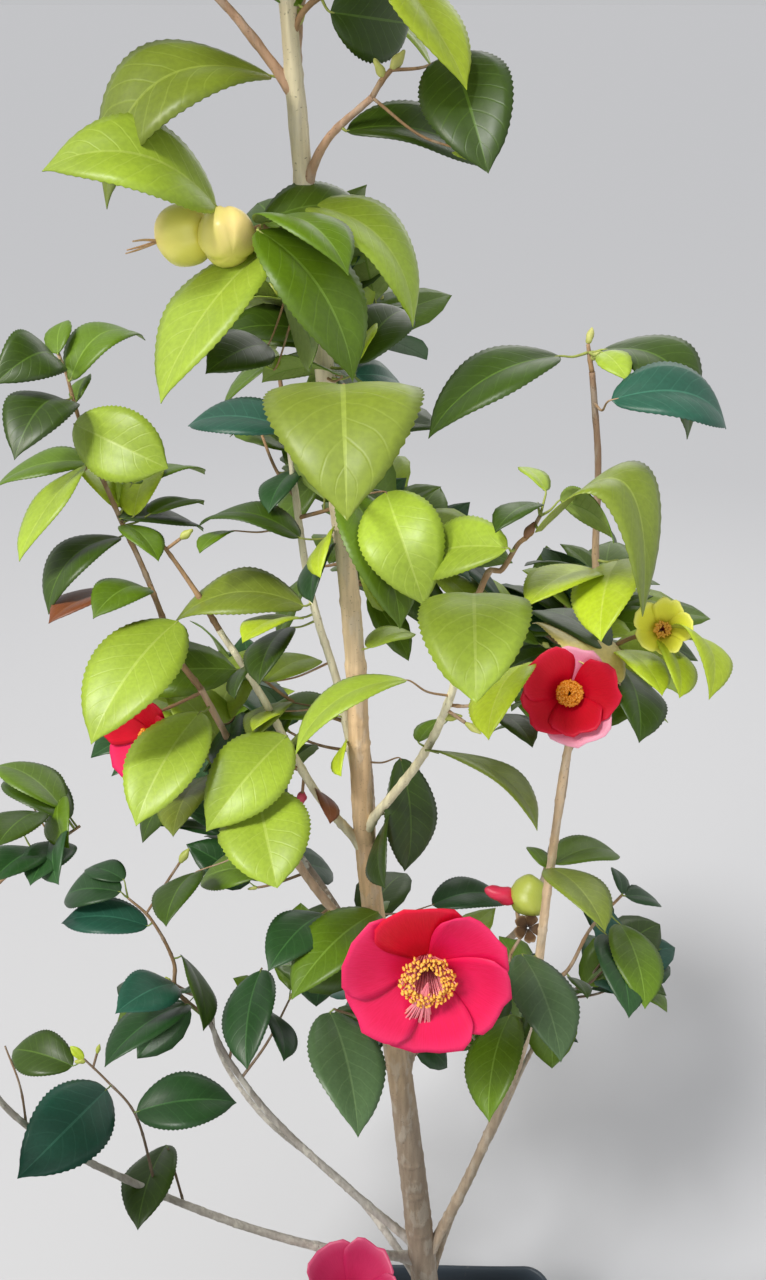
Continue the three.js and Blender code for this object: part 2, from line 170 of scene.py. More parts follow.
# The leaves that the front view shows, by the limb that carries them: base and tip in picture
# points, width in picture points, tint, and what sets the leaf apart
# Each leaf's tint paints the sunlight or shade on it as well as its green
LEAVES = {
    "crown_shoot": (
        ((330, 12), (412, 24), 78, "shaded_olive", {"near": 4}),
        ((386, -34), (469, 87), 44, "young_and_backlit_lime", {"arch": 0.12, "sweep": -0.14}),
        ((300, 6), (255, -34), 40, "mid", {}),
    ),
    "top_right_tip": (
        ((452, 54), (488, 171), 92, "shaded_olive", {"form": (0.84, 0.5)}),
    ),
    "bough_top_right": (
        ((346, 131), (485, 166), 38, "shaded_olive", {"arch": 0.13, "fold": 0.3}),
        ((462, 150), (487, 166), 26, "sun", {"length": 30, "near": 8}),
    ),
    "fruit_spur": (
        ((217, 207), (42, 168), 72, "sun", {"arch": 0.22, "near": 12}),
        ((269, 246), (158, 401), 66, "sun", {"arch": 0.08, "near": 10}),
        ((262, 222), (385, 240), 46, "mid", {"arch": 0.2, "near": 2}),
        ((262, 223), (349, 272), 36, "mid", {"arch": 0.16, "near": 12}),
        ((258, 230), (355, 380), 76, "mid", {"arch": 0.16, "near": 22}),
        ((268, 345), (206, 372), 48, "shaded_olive", {"near": -20}),
        ((274, 370), (222, 336), 17, "sun", {"near": -8}),
        ((283, 296), (312, 369), 34, "mid", {"near": -6, "under": True}),
    ),
    "trunk": (
        ((272, 76), (104, 206), 66, "moss", {"arch": 0.3}),
        ((302, 205), (415, 325), 56, "sun", {"arch": 0.24, "near": 12}),
        ((357, 364), (408, 310), 50, "shaded_olive", {"near": 14, "arch": 0.15}),
        # A short lime leaf laid just in front of the dark one above paints the sunlit patch on it
        ((358, 362), (376, 322), 16, "young_and_backlit_lime", {"near": 18, "length": 30}),
        ((342, 376), (262, 380), 18, "mid", {"near": 30, "under": True}),
        ((355, 375), (403, 386), 26, "shaded_teal", {"near": 16}),
        ((333, 530), (319, 577), 14, "young_and_backlit_lime", {"near": 4}),
        ((331, 545), (311, 602), 24, "shade", {"near": -14}),
        ((368, 648), (415, 633), 17, "sun", {"near": 8}),
        ((400, 758), (406, 872), 50, "shaded_olive", {"near": -22, "far": True}),
        ((393, 812), (383, 888), 16, "shaded_olive", {"near": -14}),
        ((378, 912), (291, 998), 60, "mid", {"near": 14, "arch": 0.12}),
        ((432, 905), (509, 903), 32, "shade", {"near": -10, "arch": 0.15}),
        ((300, 538), (198, 524), 24, "shaded_olive", {"near": 4, "arch": 0.16}),
        ((286, 702), (250, 740), 26, "moss", {"near": -26}),
    ),
    "stem_second": (
        ((290, 428), (187, 424), 38, "shaded_teal", {"near": 4}),
        ((231, 531), (199, 552), 14, "mid", {"near": -4}),
        ((304, 606), (174, 620), 46, "moss", {"arch": 0.15, "near": 6, "sweep": -0.06}),
        ((298, 618), (242, 641), 20, "young_and_backlit_lime", {"near": 2}),
        ((286, 628), (258, 684), 36, "shaded_olive", {"near": -10}),
        ((265, 682), (321, 659), 26, "sun", {}),
        ((338, 716), (252, 720), 28, "mid", {"near": 4, "arch": 0.12}),
        ((278, 712), (252, 730), 14, "young_and_backlit_lime", {"near": 6}),
        ((346, 742), (340, 776), 10, "young_and_backlit_lime", {"near": 5}),
        ((300, 468), (268, 512), 26, "shade", {"near": -16}),
    ),
    "front_high_tip": (
        ((343, 389), (347, 517), 157, "moss", {
            "length": 88, "arch": 0.22, "fold": 0.1, "form": (0.74, 0.5)}),
    ),
    "bough_front_high": (
        ((345, 488), (402, 628), 66, "mid", {"near": 6}),
        ((386, 492), (425, 606), 84, "sun", {"near": 12, "arch": 0.16}),
    ),
    "long_left_tip": (
        ((58, 354), (65, 320), 22, "mid", {"near": 2, "length": 34}),
        ((57, 360), (-6, 384), 52, "shaded_olive", {"arch": 0.26, "near": 4}),
        ((70, 381), (145, 338), 32, "mid", {"arch": 0.24, "near": 2}),
        ((76, 402), (90, 374), 14, "mid", {"near": -4}),
        ((66, 400), (14, 458), 56, "shaded_olive", {"arch": 0.2, "near": 6}),
        ((74, 424), (167, 468), 74, "sun", {"arch": 0.12, "near": 10, "form": (1.2, 0.46)}),
        ((94, 462), (-10, 492), 24, "mid", {"near": -2, "arch": 0.12}),
        ((84, 466), (17, 560), 24, "sun", {"near": 8, "sweep": 0.12}),
    ),
    "long_left_low": (
        ((134, 516), (158, 462), 32, "young_and_backlit_lime", {"near": 3}),
        ((116, 508), (77, 459), 27, "young_and_backlit_lime", {"near": -4}),
        ((125, 514), (117, 472), 20, "sun", {"near": -10}),
        ((132, 484), (205, 472), 14, "mid", {"near": -12}),
        ((120, 519), (204, 529), 15, "shaded_olive", {"near": 6, "arch": 0.08}),
        ((150, 514), (204, 503), 13, "mid", {}),
        ((125, 525), (159, 560), 28, "mid", {"near": 3}),
        ((120, 537), (47, 613), 36, "shaded_olive", {"near": 2, "arch": 0.2}),
        ((140, 592), (48, 621), 17, "bronze", {"near": -8}),
        ((146, 588), (93, 617), 36, "mid", {"near": 6, "arch": 0.15}),
        ((178, 621), (90, 743), 80, "sun", {"near": 22, "arch": 0.12}),
    ),
    "bough_long_left": (
        ((200, 712), (135, 825), 70, "sun", {"near": 20}),
        ((206, 776), (172, 835), 38, "moss", {"near": -16}),
        ((272, 870), (199, 881), 36, "mid", {"near": 4}),
        ((324, 914), (268, 970), 48, "shade", {"near": 10, "arch": 0.12}),
        ((236, 716), (232, 776), 34, "shade", {"near": -30}),
        ((196, 872), (165, 925), 34, "shaded_olive", {"near": -20}),
    ),
    "bough_mid_left": (
        ((287, 736), (206, 831), 74, "sun", {"near": 20, "arch": 0.14}),
        ((257, 790), (277, 887), 96, "sun", {"near": 34, "far": False, "form": (0.96, 0.44)}),
        ((318, 790), (331, 823), 15, "bronze", {"near": -4}),
        ((249, 664), (234, 698), 15, "shaded_olive", {"near": 2}),
    ),
    "bough_mid_right": (
        ((407, 680), (294, 752), 28, "sun", {"near": 24, "arch": 0.16}),
        ((474, 594), (476, 700), 112, "sun", {
            "near": 24, "length": 88, "arch": 0.2, "fold": 0.08, "form": (0.86, 0.4)}),
        ((426, 750), (539, 828), 20, "moss", {"near": 8, "arch": 0.12, "sweep": 0.16}),
        ((418, 742), (448, 718), 16, "mid", {"near": 4}),
    ),
    "mid_right_tip": (
        ((508, 548), (416, 570), 54, "sun", {"near": 16, "arch": 0.14}),
        ((538, 503), (495, 531), 24, "shaded_olive", {}),
        ((546, 491), (519, 466), 13, "sun", {"near": -2}),
        ((541, 530), (645, 614), 64, "moss", {
            "near": 10, "crown": (624, 482), "length": 100, "form": (0.84, 0.4)}),
        ((560, 500), (616, 542), 26, "mid", {"near": -10, "under": True}),
    ),
    "mid_right_side": (
        ((524, 664), (487, 738), 44, "young_and_backlit_lime", {"near": 3}),
        ((500, 714), (533, 746), 26, "shaded_olive", {}),
    ),
    "stem_right": (
        ((596, 570), (526, 605), 38, "young_and_backlit_lime", {"near": 4}),
        ((618, 560), (600, 640), 62, "young_and_backlit_lime", {"near": 10}),
        ((606, 650), (532, 612), 30, "shaded_olive", {"near": 16, "arch": 0.12}),
        ((620, 684), (533, 621), 36, "sunlit_peach", {"near": 36, "arch": 0.12}),
        ((611, 400), (728, 427), 52, "shaded_teal", {"near": 54, "arch": 0.2}),
        ((617, 664), (641, 741), 46, "shaded_olive", {"near": -8}),
        ((553, 864), (619, 854), 28, "mid", {"arch": 0.12}),
        ((546, 868), (528, 846), 14, "mid", {"near": -6}),
        ((551, 868), (606, 930), 42, "moss", {"near": 4}),
        ((522, 954), (562, 1061), 60, "sage", {"near": 12}),
        ((510, 1015), (488, 1121), 54, "mid", {"near": 6}),
        ((530, 1012), (519, 1054), 20, "shaded_olive", {"near": -2}),
    ),
    "right_tip": (
        ((560, 356), (427, 436), 50, "shaded_olive", {"near": 4, "arch": 0.14}),
        ((601, 350), (689, 438), 52, "shaded_olive", {"near": 2, "arch": 0.34}),
        ((602, 352), (628, 380), 28, "sun", {"near": 22}),
    ),
    "right_bud": (
        ((622, 650), (663, 694), 32, "young_and_backlit_lime", {"near": 2}),
        ((664, 642), (681, 697), 28, "young_and_backlit_lime", {"near": 6}),
        ((668, 636), (711, 698), 22, "young_and_backlit_lime", {"near": 4, "arch": 0.25}),
    ),
    "right_low": (
        ((570, 977), (588, 998), 12, "shaded_olive", {}),
        ((620, 924), (646, 1008), 46, "mid", {}),
        ((606, 934), (630, 1017), 46, "shade", {"near": 8}),
        ((622, 894), (613, 867), 13, "shade", {}),
        ((625, 896), (661, 905), 17, "shade", {}),
    ),
    "low_centre": (
        ((330, 1012), (359, 1136), 72, "sage", {"near": 2}),
    ),
    "left_lower_tip": (
        ((175, 984), (116, 1012), 44, "shaded_teal", {"near": 6}),
        ((182, 956), (205, 1030), 19, "shaded_olive", {}),
        ((121, 892), (64, 897), 36, "shade", {"near": 4, "arch": 0.12}),
        ((148, 926), (61, 922), 36, "shaded_teal", {"arch": 0.12}),
        ((124, 880), (86, 868), 24, "shade", {"near": -4}),
    ),
    "bough_left_lower": (
        ((188, 1004), (104, 1065), 36, "shade", {"near": 6}),
    ),
    "left_lower_side": (
        ((261, 970), (246, 1069), 50, "shade", {"near": 4}),
        ((264, 1008), (285, 1060), 22, "shade", {"near": -4}),
    ),
    "low_left_side": (
        ((136, 1112), (237, 1102), 54, "shade", {"near": 4, "arch": 0.15}),
        ((107, 1089), (18, 1178), 78, "shaded_teal", {"near": 8, "arch": 0.12}),
        ((73, 1066), (12, 1050), 44, "shaded_olive", {"arch": 0.14}),
        ((84, 1059), (70, 1046), 9, "young_and_backlit_lime", {"length": 12}),
    ),
    "low_left_back": (
        ((166, 1145), (137, 1229), 46, "shaded_olive", {"near": -12}),
    ),
    "low_left_tip": (
        ((62, 808), (-6, 765), 34, "mid", {"arch": 0.12}),
        ((68, 820), (3, 780), 38, "shaded_olive", {"near": 5, "arch": 0.12}),
        ((63, 828), (57, 884), 26, "shade", {"near": 5}),
        ((44, 850), (-9, 882), 36, "shade", {"near": 5}),
        ((22, 832), (-14, 824), 18, "shaded_teal", {"near": 8}),
        ((66, 842), (30, 884), 40, "shade", {"near": 2}),
        ((40, 812), (-4, 846), 34, "shaded_olive", {"near": 10}),
        ((60, 800), (68, 848), 28, "mid", {"near": -4}),
        ((30, 800), (34, 772), 24, "shaded_olive", {"near": -6}),
    ),
}

# Which foliage masses each leaf piece stands for
LEAF_PIECES = {
    "leaves_crown": ("crown_tip", "crown_left", "crown_back", "top_right", "top_left"),
    "leaves_upper": ("below_fruit", "upper_centre", "front_high", "second_stem"),
    "leaves_left": ("left_tip", "left_middle", "left_lower", "mid_left"),
    "leaves_middle": ("centre_right", "mid_right", "front_flower"),
    "leaves_right": ("right_arch", "right_flower", "right_upper", "right_low"),
    "leaves_low_left": ("left_edge", "low_left_outer", "low_left_inner", "low_flower"),
    "leaves_back": ("back_centre", "back_middle", "back_left", "back_right"),
    "leaves_back_low": ("back_low_left", "back_low_centre", "back_low_right"),
    "leaves_front_low": (
        "front_low", "front_low_right", "front_right", "front_low_left", "front_left"),
}

# Leaf tints: top side, underside, midrib. Most are lit and shaded copies of one leaf green, marked one
# by one below; the rest are middle greens and a red-brown leaf
TINTS = {
    # Painted light shining through backlit leaves, together with the paler green of young leaves
    "young_and_backlit_lime": ("#AFC42A", "#B5BE55", "#BACB4A"),
    # Painted sunlight on the leaf
    "sun": ("#94AC33", "#A2B25A", "#A3B84A"),
    "moss": ("#748428", "#8C964C", "#8A9A3C"),
    "mid": ("#54700E", "#7C9144", "#6C8A2C"),
    # Painted shade: leaves lying in shadow
    "shaded_olive": ("#334A09", "#647A3C", "#4C691A"),
    "sage": ("#4E6841", "#748A64", "#627C50"),
    # Painted deep shade on the leaf
    "shade": ("#244620", "#587752", "#38622F"),
    # Painted shade: the bluish light of the open sky on leaves in shadow
    "shaded_teal": ("#235442", "#58816F", "#376E58"),
    # Painted sunlight: a brightly lit leaf, paled by the light
    "sunlit_peach": ("#C8B86E", "#D3C58A", "#CFC07A"),
    "bronze": ("#7A4424", "#8F6040", "#8A5630"),
}

# Picture ovals, middle and half sizes, where the photograph shows leaf behind leaf
THICKETS = (
    ((232, 692), 52, 48), ((300, 740), 46, 32), ((196, 815), 30, 52), ((245, 866), 38, 28),
    ((338, 862), 32, 28), ((36, 822), 42, 56), ((106, 906), 44, 32), ((302, 948), 36, 36),
    ((60, 402), 58, 58), ((236, 364), 46, 24), ((574, 608), 44, 30), ((440, 560), 40, 40),
)


# Helpers

def colour(code, share=1.0):
    """The linear colour of a hex code, made darker by a share."""
    parts = [int(code[i:i + 2], 16) / 255 for i in (1, 3, 5)]
    linear = [p / 12.92 if p <= 0.04045 else ((p + 0.055) / 1.055) ** 2.4 for p in parts]
    return (*[share * c for c in linear], 1.0)


def clamp(value, low, high):
    return max(low, min(high, value))


def random_turn(rng):
    """A random angle, in radians."""
    return rng.uniform(0, 6.28)


def table_value(table, key):
    """The value between the rows of a two-column table."""
    if key <= table[0][0]:
        return table[0][1]
    for (low, first), (high, second) in zip(table, table[1:]):
        if key <= high:
            return first + (second - first) * (key - low) / (high - low)
    return table[-1][1]


def sight(px, py):
    """The camera's ray through a picture point, one unit deep."""
    across = (px - MIDDLE[0]) / FOCAL
    above = (MIDDLE[1] - py) / FOCAL
    return Vector((
        across,
        math.cos(PITCH) + above * math.sin(PITCH),
        above * math.cos(PITCH) - math.sin(PITCH),
    ))


def seen_at(px, py, depth):
    return EYE + sight(px, py) * depth


def to_picture(point):
    """A point's place in the picture, and its depth."""
    offset = point - EYE
    depth = offset.y * math.cos(PITCH) - offset.z * math.sin(PITCH)
    above = offset.y * math.sin(PITCH) + offset.z * math.cos(PITCH)
    return MIDDLE[0] + FOCAL * offset.x / depth, MIDDLE[1] - FOCAL * above / depth, depth


def smooth_path(knots, step):
    """A centripetal Catmull-Rom curve through the knots, with a point every step."""
    knots = [Vector(k) for k in knots]
    ends = [2 * knots[0] - knots[1], *knots, 2 * knots[-1] - knots[-2]]
    path = [knots[0]]
    for p0, p1, p2, p3 in zip(ends, ends[1:], ends[2:], ends[3:]):
        t1 = max((p1 - p0).length, 1e-6) ** 0.5
        t2 = t1 + max((p2 - p1).length, 1e-6) ** 0.5
        t3 = t2 + max((p3 - p2).length, 1e-6) ** 0.5
        count = max(1, round((p2 - p1).length / step))
        for i in range(1, count + 1):
            t = t1 + (t2 - t1) * i / count
            a1 = p0.lerp(p1, t / t1)
            a2 = p1.lerp(p2, (t - t1) / (t2 - t1))
            a3 = p2.lerp(p3, (t - t2) / (t3 - t2))
            b1 = a1.lerp(a2, t / t2)
            b2 = a2.lerp(a3, (t - t1) / (t3 - t1))
            path.append(b1.lerp(b2, (t - t1) / (t2 - t1)))
    return path


def even_line(knots, step, radius):
    """A smooth line through the knots with one radius, as its points and radii."""
    points = smooth_path(knots, step)
    return points, [radius] * len(points)


def across_of(direction, up=Vector((0, 0, 1))):
    """The unit side vector that makes a right-handed set with direction and up."""
    side = up.cross(direction)
    if side.length < 1e-6:
        side = Vector((1, 0, 0)).cross(direction)
    return side.normalized()


# Node trees

def add_node(tree, kind, values=None, **settings):
    """A node with its settings, and its input values by socket name or number."""
    made = tree.nodes.new(kind)
    for name, value in settings.items():
        setattr(made, name, value)
    for socket, value in (values or {}).items():
        made.inputs[socket].default_value = value
    return made


def feed(tree, socket, source):
    """A link from an output, or a plain value, into a socket."""
    if isinstance(source, bpy.types.NodeSocket):
        tree.links.new(source, socket)
    else:
        socket.default_value = source


def mixed(tree, factor, first, second, blend="MIX"):
    mix = add_node(tree, "ShaderNodeMix", data_type="RGBA", blend_type=blend)
    for number, source in ((0, factor), (6, first), (7, second)):
        feed(tree, mix.inputs[number], source)
    return mix.outputs[2]


def calc(tree, operation, first, second=0.0, limit=False):
    math_node = add_node(tree, "ShaderNodeMath", operation=operation, use_clamp=limit)
    for number, source in enumerate((first, second)):
        feed(tree, math_node.inputs[number], source)
    return math_node.outputs[0]


def plus_share(tree, base, source, share):
    """The base with a share of the source added."""
    return calc(tree, "ADD", base, calc(tree, "MULTIPLY", source, share))


def ranged(tree, source, low, high, start=0.0, end=1.0):
    """The source moved smoothly from one range to another."""
    node = add_node(tree, "ShaderNodeMapRange", {3: start, 4: end}, interpolation_type="SMOOTHSTEP")
    for number, value in enumerate((source, low, high)):
        feed(tree, node.inputs[number], value)
    return node.outputs[0]


def patches(tree, scale, detail=3.0, stretch=(1, 1, 1), coordinates="Object"):
    """Noise on the piece's own coordinates, stretched along an axis."""
    place = add_node(tree, "ShaderNodeTexCoord")
    mapping = add_node(tree, "ShaderNodeMapping", {3: stretch})
    tree.links.new(place.outputs[coordinates], mapping.inputs[0])
    made = add_node(tree, "ShaderNodeTexNoise", {"Scale": scale, "Detail": detail})
    tree.links.new(mapping.outputs[0], made.inputs["Vector"])
    return made.outputs[0]


def own_place(tree, coordinates):
    """The three numbers of the piece's own coordinates."""
    place = add_node(tree, "ShaderNodeTexCoord")
    split = add_node(tree, "ShaderNodeSeparateXYZ")
    tree.links.new(place.outputs[coordinates], split.inputs[0])
    return split.outputs


def height_of(tree):
    """The height above the ground, from Object coordinates."""
    return own_place(tree, "Object")[2]


def new_group(name, inputs, outputs):
    """A shader group with colour and number sockets, and its two end nodes."""
    group = bpy.data.node_groups.new(name, "ShaderNodeTree")
    for label, value in inputs.items():
        kind = "NodeSocketFloat" if isinstance(value, (int, float)) else "NodeSocketColor"
        socket = group.interface.new_socket(name=label, in_out="INPUT", socket_type=kind)
        socket.default_value = value
    for label, kind in outputs.items():
        group.interface.new_socket(name=label, in_out="OUTPUT", socket_type=kind)
    return group, group.nodes.new("NodeGroupInput"), group.nodes.new("NodeGroupOutput")


SURFACE_OUTPUTS = {
    "Color": "NodeSocketColor", "Roughness": "NodeSocketFloat", "Height": "NodeSocketFloat",
}
SIDE_VEINS = 9.0
VEIN_SLANT = 2.1


def leaf_surface():
    """Side veins on the leaf's own map, mottling, and a drift of tint from leaf to leaf."""
    group, given, made = new_group(
        "LeafSurface",
        {"Blade": (0.1, 0.2, 0.05, 1), "Vein": (0.3, 0.4, 0.1, 1), "Gloss": 0.36},
        SURFACE_OUTPUTS)
    own = own_place(group, "UV")
    offset = calc(group, "SUBTRACT", calc(group, "MULTIPLY", own[1], 2.0), 1.0)
    away = calc(group, "ABSOLUTE", offset)
    forward = calc(group, "MULTIPLY", own[0], SIDE_VEINS)
    along = calc(group, "SUBTRACT", forward, calc(group, "MULTIPLY", away, VEIN_SLANT))
    along = plus_share(group, along, patches(group, 90, 2.0), 0.35)
    gap = calc(group, "ABSOLUTE", calc(group, "SUBTRACT", calc(group, "FRACT", along), 0.5))
    faded = ranged(group, away, 0.7, 1.0, 1.0, 0.0)
    vein = calc(group, "MULTIPLY", ranged(group, gap, 0.0, 0.09, 1.0, 0.0), faded)
    drift = ranged(group, patches(group, 11, 1.0), 0.3, 0.7, 0.8, 1.22)
    mottle = ranged(group, patches(group, 420, 3.0), 0.3, 0.7, 0.93, 1.07)
    shade = calc(group, "MULTIPLY", drift, mottle)
    grey = add_node(group, "ShaderNodeCombineColor")
    for number in range(3):
        group.links.new(shade, grey.inputs[number])
    blade = mixed(group, 1.0, given.outputs["Blade"], grey.outputs[0], "MULTIPLY")
    veined = mixed(group, calc(group, "MULTIPLY", vein, 0.35), blade, given.outputs["Vein"])
    group.links.new(veined, made.inputs["Color"])
    rough = plus_share(group, given.outputs["Gloss"], patches(group, 160, 2.0), 0.14)
    group.links.new(rough, made.inputs["Roughness"])
    relief = calc(group, "SUBTRACT", calc(group, "MULTIPLY", patches(group, 260, 2.0), 0.5), vein)
    group.links.new(relief, made.inputs["Height"])
    return group


def petal_surface():
    """Fine veins that fan along the petal, a deeper base and a paler rim."""
    group, given, made = new_group(
        "PetalSurface",
        {"Petal": (0.7, 0.02, 0.06, 1), "Deep": (0.4, 0, 0.02, 1), "Pale": (0.9, 0.2, 0.3, 1)},
        SURFACE_OUTPUTS)
    petal_tone, deep, pale = (given.outputs[name] for name in ("Petal", "Deep", "Pale"))
    outward = own_place(group, "UV")[0]
    streaks = patches(group, 22, 3.0, (0.25, 4.0, 1.0), "UV")
    lines = ranged(group, streaks, 0.35, 0.68)
    base = ranged(group, outward, 0.0, 0.45, 1.0, 0.0)
    edge = ranged(group, outward, 0.72, 1.0, 0.0, 0.35)
    tone = mixed(group, calc(group, "MULTIPLY", lines, 0.3), petal_tone, deep)
    tone = mixed(group, edge, tone, pale)
    tone = mixed(group, calc(group, "MULTIPLY", base, 0.8), tone, deep)
    group.links.new(tone, made.inputs["Color"])
    group.links.new(plus_share(group, 0.42, lines, 0.12), made.inputs["Roughness"])
    group.links.new(streaks, made.inputs["Height"])
    return group


FLAKE_TONE = "#D2CCC0"
CREVICE_TONE = "#5A4430"
PORE_TONE = "#33261B"


def bark_surface():
    """Bark that changes with height, with long fibres, pale flakes and dark pores."""
    group, given, made = new_group(
        "BarkSurface",
        {"Low": (0.2, 0.15, 0.1, 1), "Middle": (0.5, 0.3, 0.15, 1), "High": (0.7, 0.6, 0.4, 1),
         "Flake": (0.6, 0.55, 0.45, 1), "Flaking": 0.5, "Turn": 0.9, "Top": 1.25},
        SURFACE_OUTPUTS)
    waves = calc(group, "SUBTRACT", patches(group, 9, 2.0), 0.5)
    level = plus_share(group, height_of(group), waves, 0.3)
    tone = given.outputs["Low"]
    for height, blur, above in (("Turn", 0.16, "Middle"), ("Top", 0.1, "High")):
        start = calc(group, "SUBTRACT", given.outputs[height], blur)
        end = calc(group, "ADD", given.outputs[height], blur)
        tone = mixed(group, ranged(group, level, start, end), tone, given.outputs[above])
    fibres = patches(group, 260, 4.0, (1, 1, 0.09))
    tone = mixed(group, ranged(group, fibres, 0.32, 0.7, 0.32, 0.0), tone, colour(CREVICE_TONE))
    flakes = ranged(group, patches(group, 120, 5.0, (1, 1, 0.3)), 0.5, 0.62)
    flaking = calc(group, "MULTIPLY", flakes, given.outputs["Flaking"])
    tone = mixed(group, flaking, tone, given.outputs["Flake"])
    pores = ranged(group, patches(group, 620, 2.0, (1, 1, 1.6)), 0.66, 0.74, 0.0, 0.5)
    tone = mixed(group, pores, tone, colour(PORE_TONE))
    group.links.new(tone, made.inputs["Color"])
    group.links.new(plus_share(group, 0.62, fibres, 0.3), made.inputs["Roughness"])
    relief = plus_share(group, fibres, flakes, 0.6)
    group.links.new(calc(group, "SUBTRACT", relief, pores), made.inputs["Height"])
    return group


def dusty_surface():
    """Plastic, earth, buds or fruit with grain, and dust or bloom that settles by height."""
    group, given, made = new_group(
        "DustySurface",
        {"Base": (0.02, 0.03, 0.04, 1), "Dust": (0.3, 0.27, 0.22, 1), "Grain": 300.0,
         "Low": 0.0, "High": 0.1, "Amount": 0.4},
        SURFACE_OUTPUTS)
    settled = ranged(group, height_of(group), given.outputs["Low"], given.outputs["High"], 1.0, 0.0)
    cloud = ranged(group, patches(group, 14, 6.0), 0.38, 0.66)
    dust = calc(group, "MULTIPLY", calc(group, "MULTIPLY", cloud, settled), given.outputs["Amount"])
    scuff = ranged(group, patches(group, 60, 6.0, (1, 1, 0.12)), 0.62, 0.7, 0.0, 0.22)
    covered = calc(group, "ADD", dust, scuff, limit=True)
    tone = mixed(group, covered, given.outputs["Base"], given.outputs["Dust"])
    group.links.new(tone, made.inputs["Color"])
    rough = plus_share(group, 0.4, calc(group, "ADD", dust, scuff), 0.5)
    group.links.new(rough, made.inputs["Roughness"])
    grain = add_node(group, "ShaderNodeTexNoise", {"Detail": 4.0})
    place = add_node(group, "ShaderNodeTexCoord")
    group.links.new(place.outputs["Object"], grain.inputs["Vector"])
    group.links.new(given.outputs["Grain"], grain.inputs["Scale"])
    group.links.new(grain.outputs[0], made.inputs["Height"])
    return group


GROUPS = {
    "leaf": leaf_surface(),
    "petal": petal_surface(),
    "bark": bark_surface(),
    "dusty": dusty_surface(),
}


def finish_of(name, group, values, bump, depth, **shader):
    """A material: one surface group with its own values, a bump, and plain shader values."""
    material = bpy.data.materials.new(name)
    material.use_nodes = True
    tree = material.node_tree
    principled = tree.nodes["Principled BSDF"]
    surface = add_node(tree, "ShaderNodeGroup", node_tree=GROUPS[group])
    for socket, value in values.items():
        surface.inputs[socket].default_value = value
    tree.links.new(surface.outputs["Color"], principled.inputs["Base Color"])
    tree.links.new(surface.outputs["Roughness"], principled.inputs["Roughness"])
    relief = add_node(tree, "ShaderNodeBump", {"Strength": bump, "Distance": depth * MM})
    tree.links.new(surface.outputs["Height"], relief.inputs["Height"])
    tree.links.new(relief.outputs[0], principled.inputs["Normal"])
    for socket, value in shader.items():
        principled.inputs[socket.replace("_", " ")].default_value = value
    return material


TOP_GLOSS = 0.36
UNDER_GLOSS = 0.5
LEAF_SHEEN = {"Specular_IOR_Level": 0.4, "Coat_Weight": 0.1, "Coat_Roughness": 0.3}


def leaf_finish(name, blade_tone, rib, gloss, bump, depth, **shader):
    values = {"Blade": blade_tone, "Vein": colour(rib), "Gloss": gloss}
    return finish_of(name, "leaf", values, bump, depth, **shader)


def leaf_finishes():
    """Two materials for each tint, top and under, then two for each midrib."""
    made = []
    for name, (top, under, rib) in TINTS.items():
        made.append(leaf_finish("leaf_" + name, colour(top), rib, TOP_GLOSS, 0.2, 0.4, **LEAF_SHEEN))
        made.append(leaf_finish("leaf_under_" + name, colour(under), rib, UNDER_GLOSS, 0.4, 0.5))
    for name, (_, _, rib) in TINTS.items():
        made.append(leaf_finish("midrib_" + name, colour(rib), rib, TOP_GLOSS, 0.1, 0.3))
        made.append(leaf_finish("midrib_under_" + name, colour(rib, 0.9), rib, UNDER_GLOSS, 0.1, 0.3))
    return made


TINT_NUMBER = {name: 2 * i for i, name in enumerate(TINTS)}
RIB_NUMBER = {name: 2 * (i + len(TINTS)) for i, name in enumerate(TINTS)}


def bark_finish(name, low, middle, high, flaking=0.4, turn=0.86, top=1.3):
    return finish_of(name, "bark", {
        "Low": colour(low), "Middle": colour(middle), "High": colour(high), "Flake": colour(FLAKE_TONE),
        "Flaking": flaking, "Turn": turn, "Top": top}, 0.7, 0.9)


def petal_finish(name, petal_tone, deep, pale, bump=0.25, depth=0.6, gloss=0.5):
    return finish_of(name, "petal", {
        "Petal": colour(petal_tone), "Deep": colour(deep), "Pale": colour(pale)},
        bump, depth, Specular_IOR_Level=gloss)


def dusty_finish(name, base, dust, grain, bump, depth, level=(3.0, 4.0), amount=0.5, **shader):
    """A dusty finish; a level above the plant's tip spreads the dust over the whole piece."""
    return finish_of(name, "dusty", {
        "Base": colour(base), "Dust": colour(dust), "Grain": grain, "Low": level[0], "High": level[1],
        "Amount": amount}, bump, depth, **shader)


# Pieces

def linked(name, data):
    """A new object for some data, in the scene."""
    made = bpy.data.objects.new(name, data)
    bpy.context.scene.collection.objects.link(made)
    return made


def as_piece(name, mesh, materials, nodes=()):
    """A finished mesh as a piece that rides on the root and stands for its nodes."""
    piece = linked(name, mesh)
    for material in materials:
        mesh.materials.append(material)
    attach(piece, "root")
    if nodes:
        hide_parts(*nodes)
    return piece


def mesh_of(bm, name, smooth=True):
    mesh = bpy.data.meshes.new(name)
    bm.to_mesh(mesh)
    bm.free()
    for face in mesh.polygons:
        face.use_smooth = smooth
    return mesh


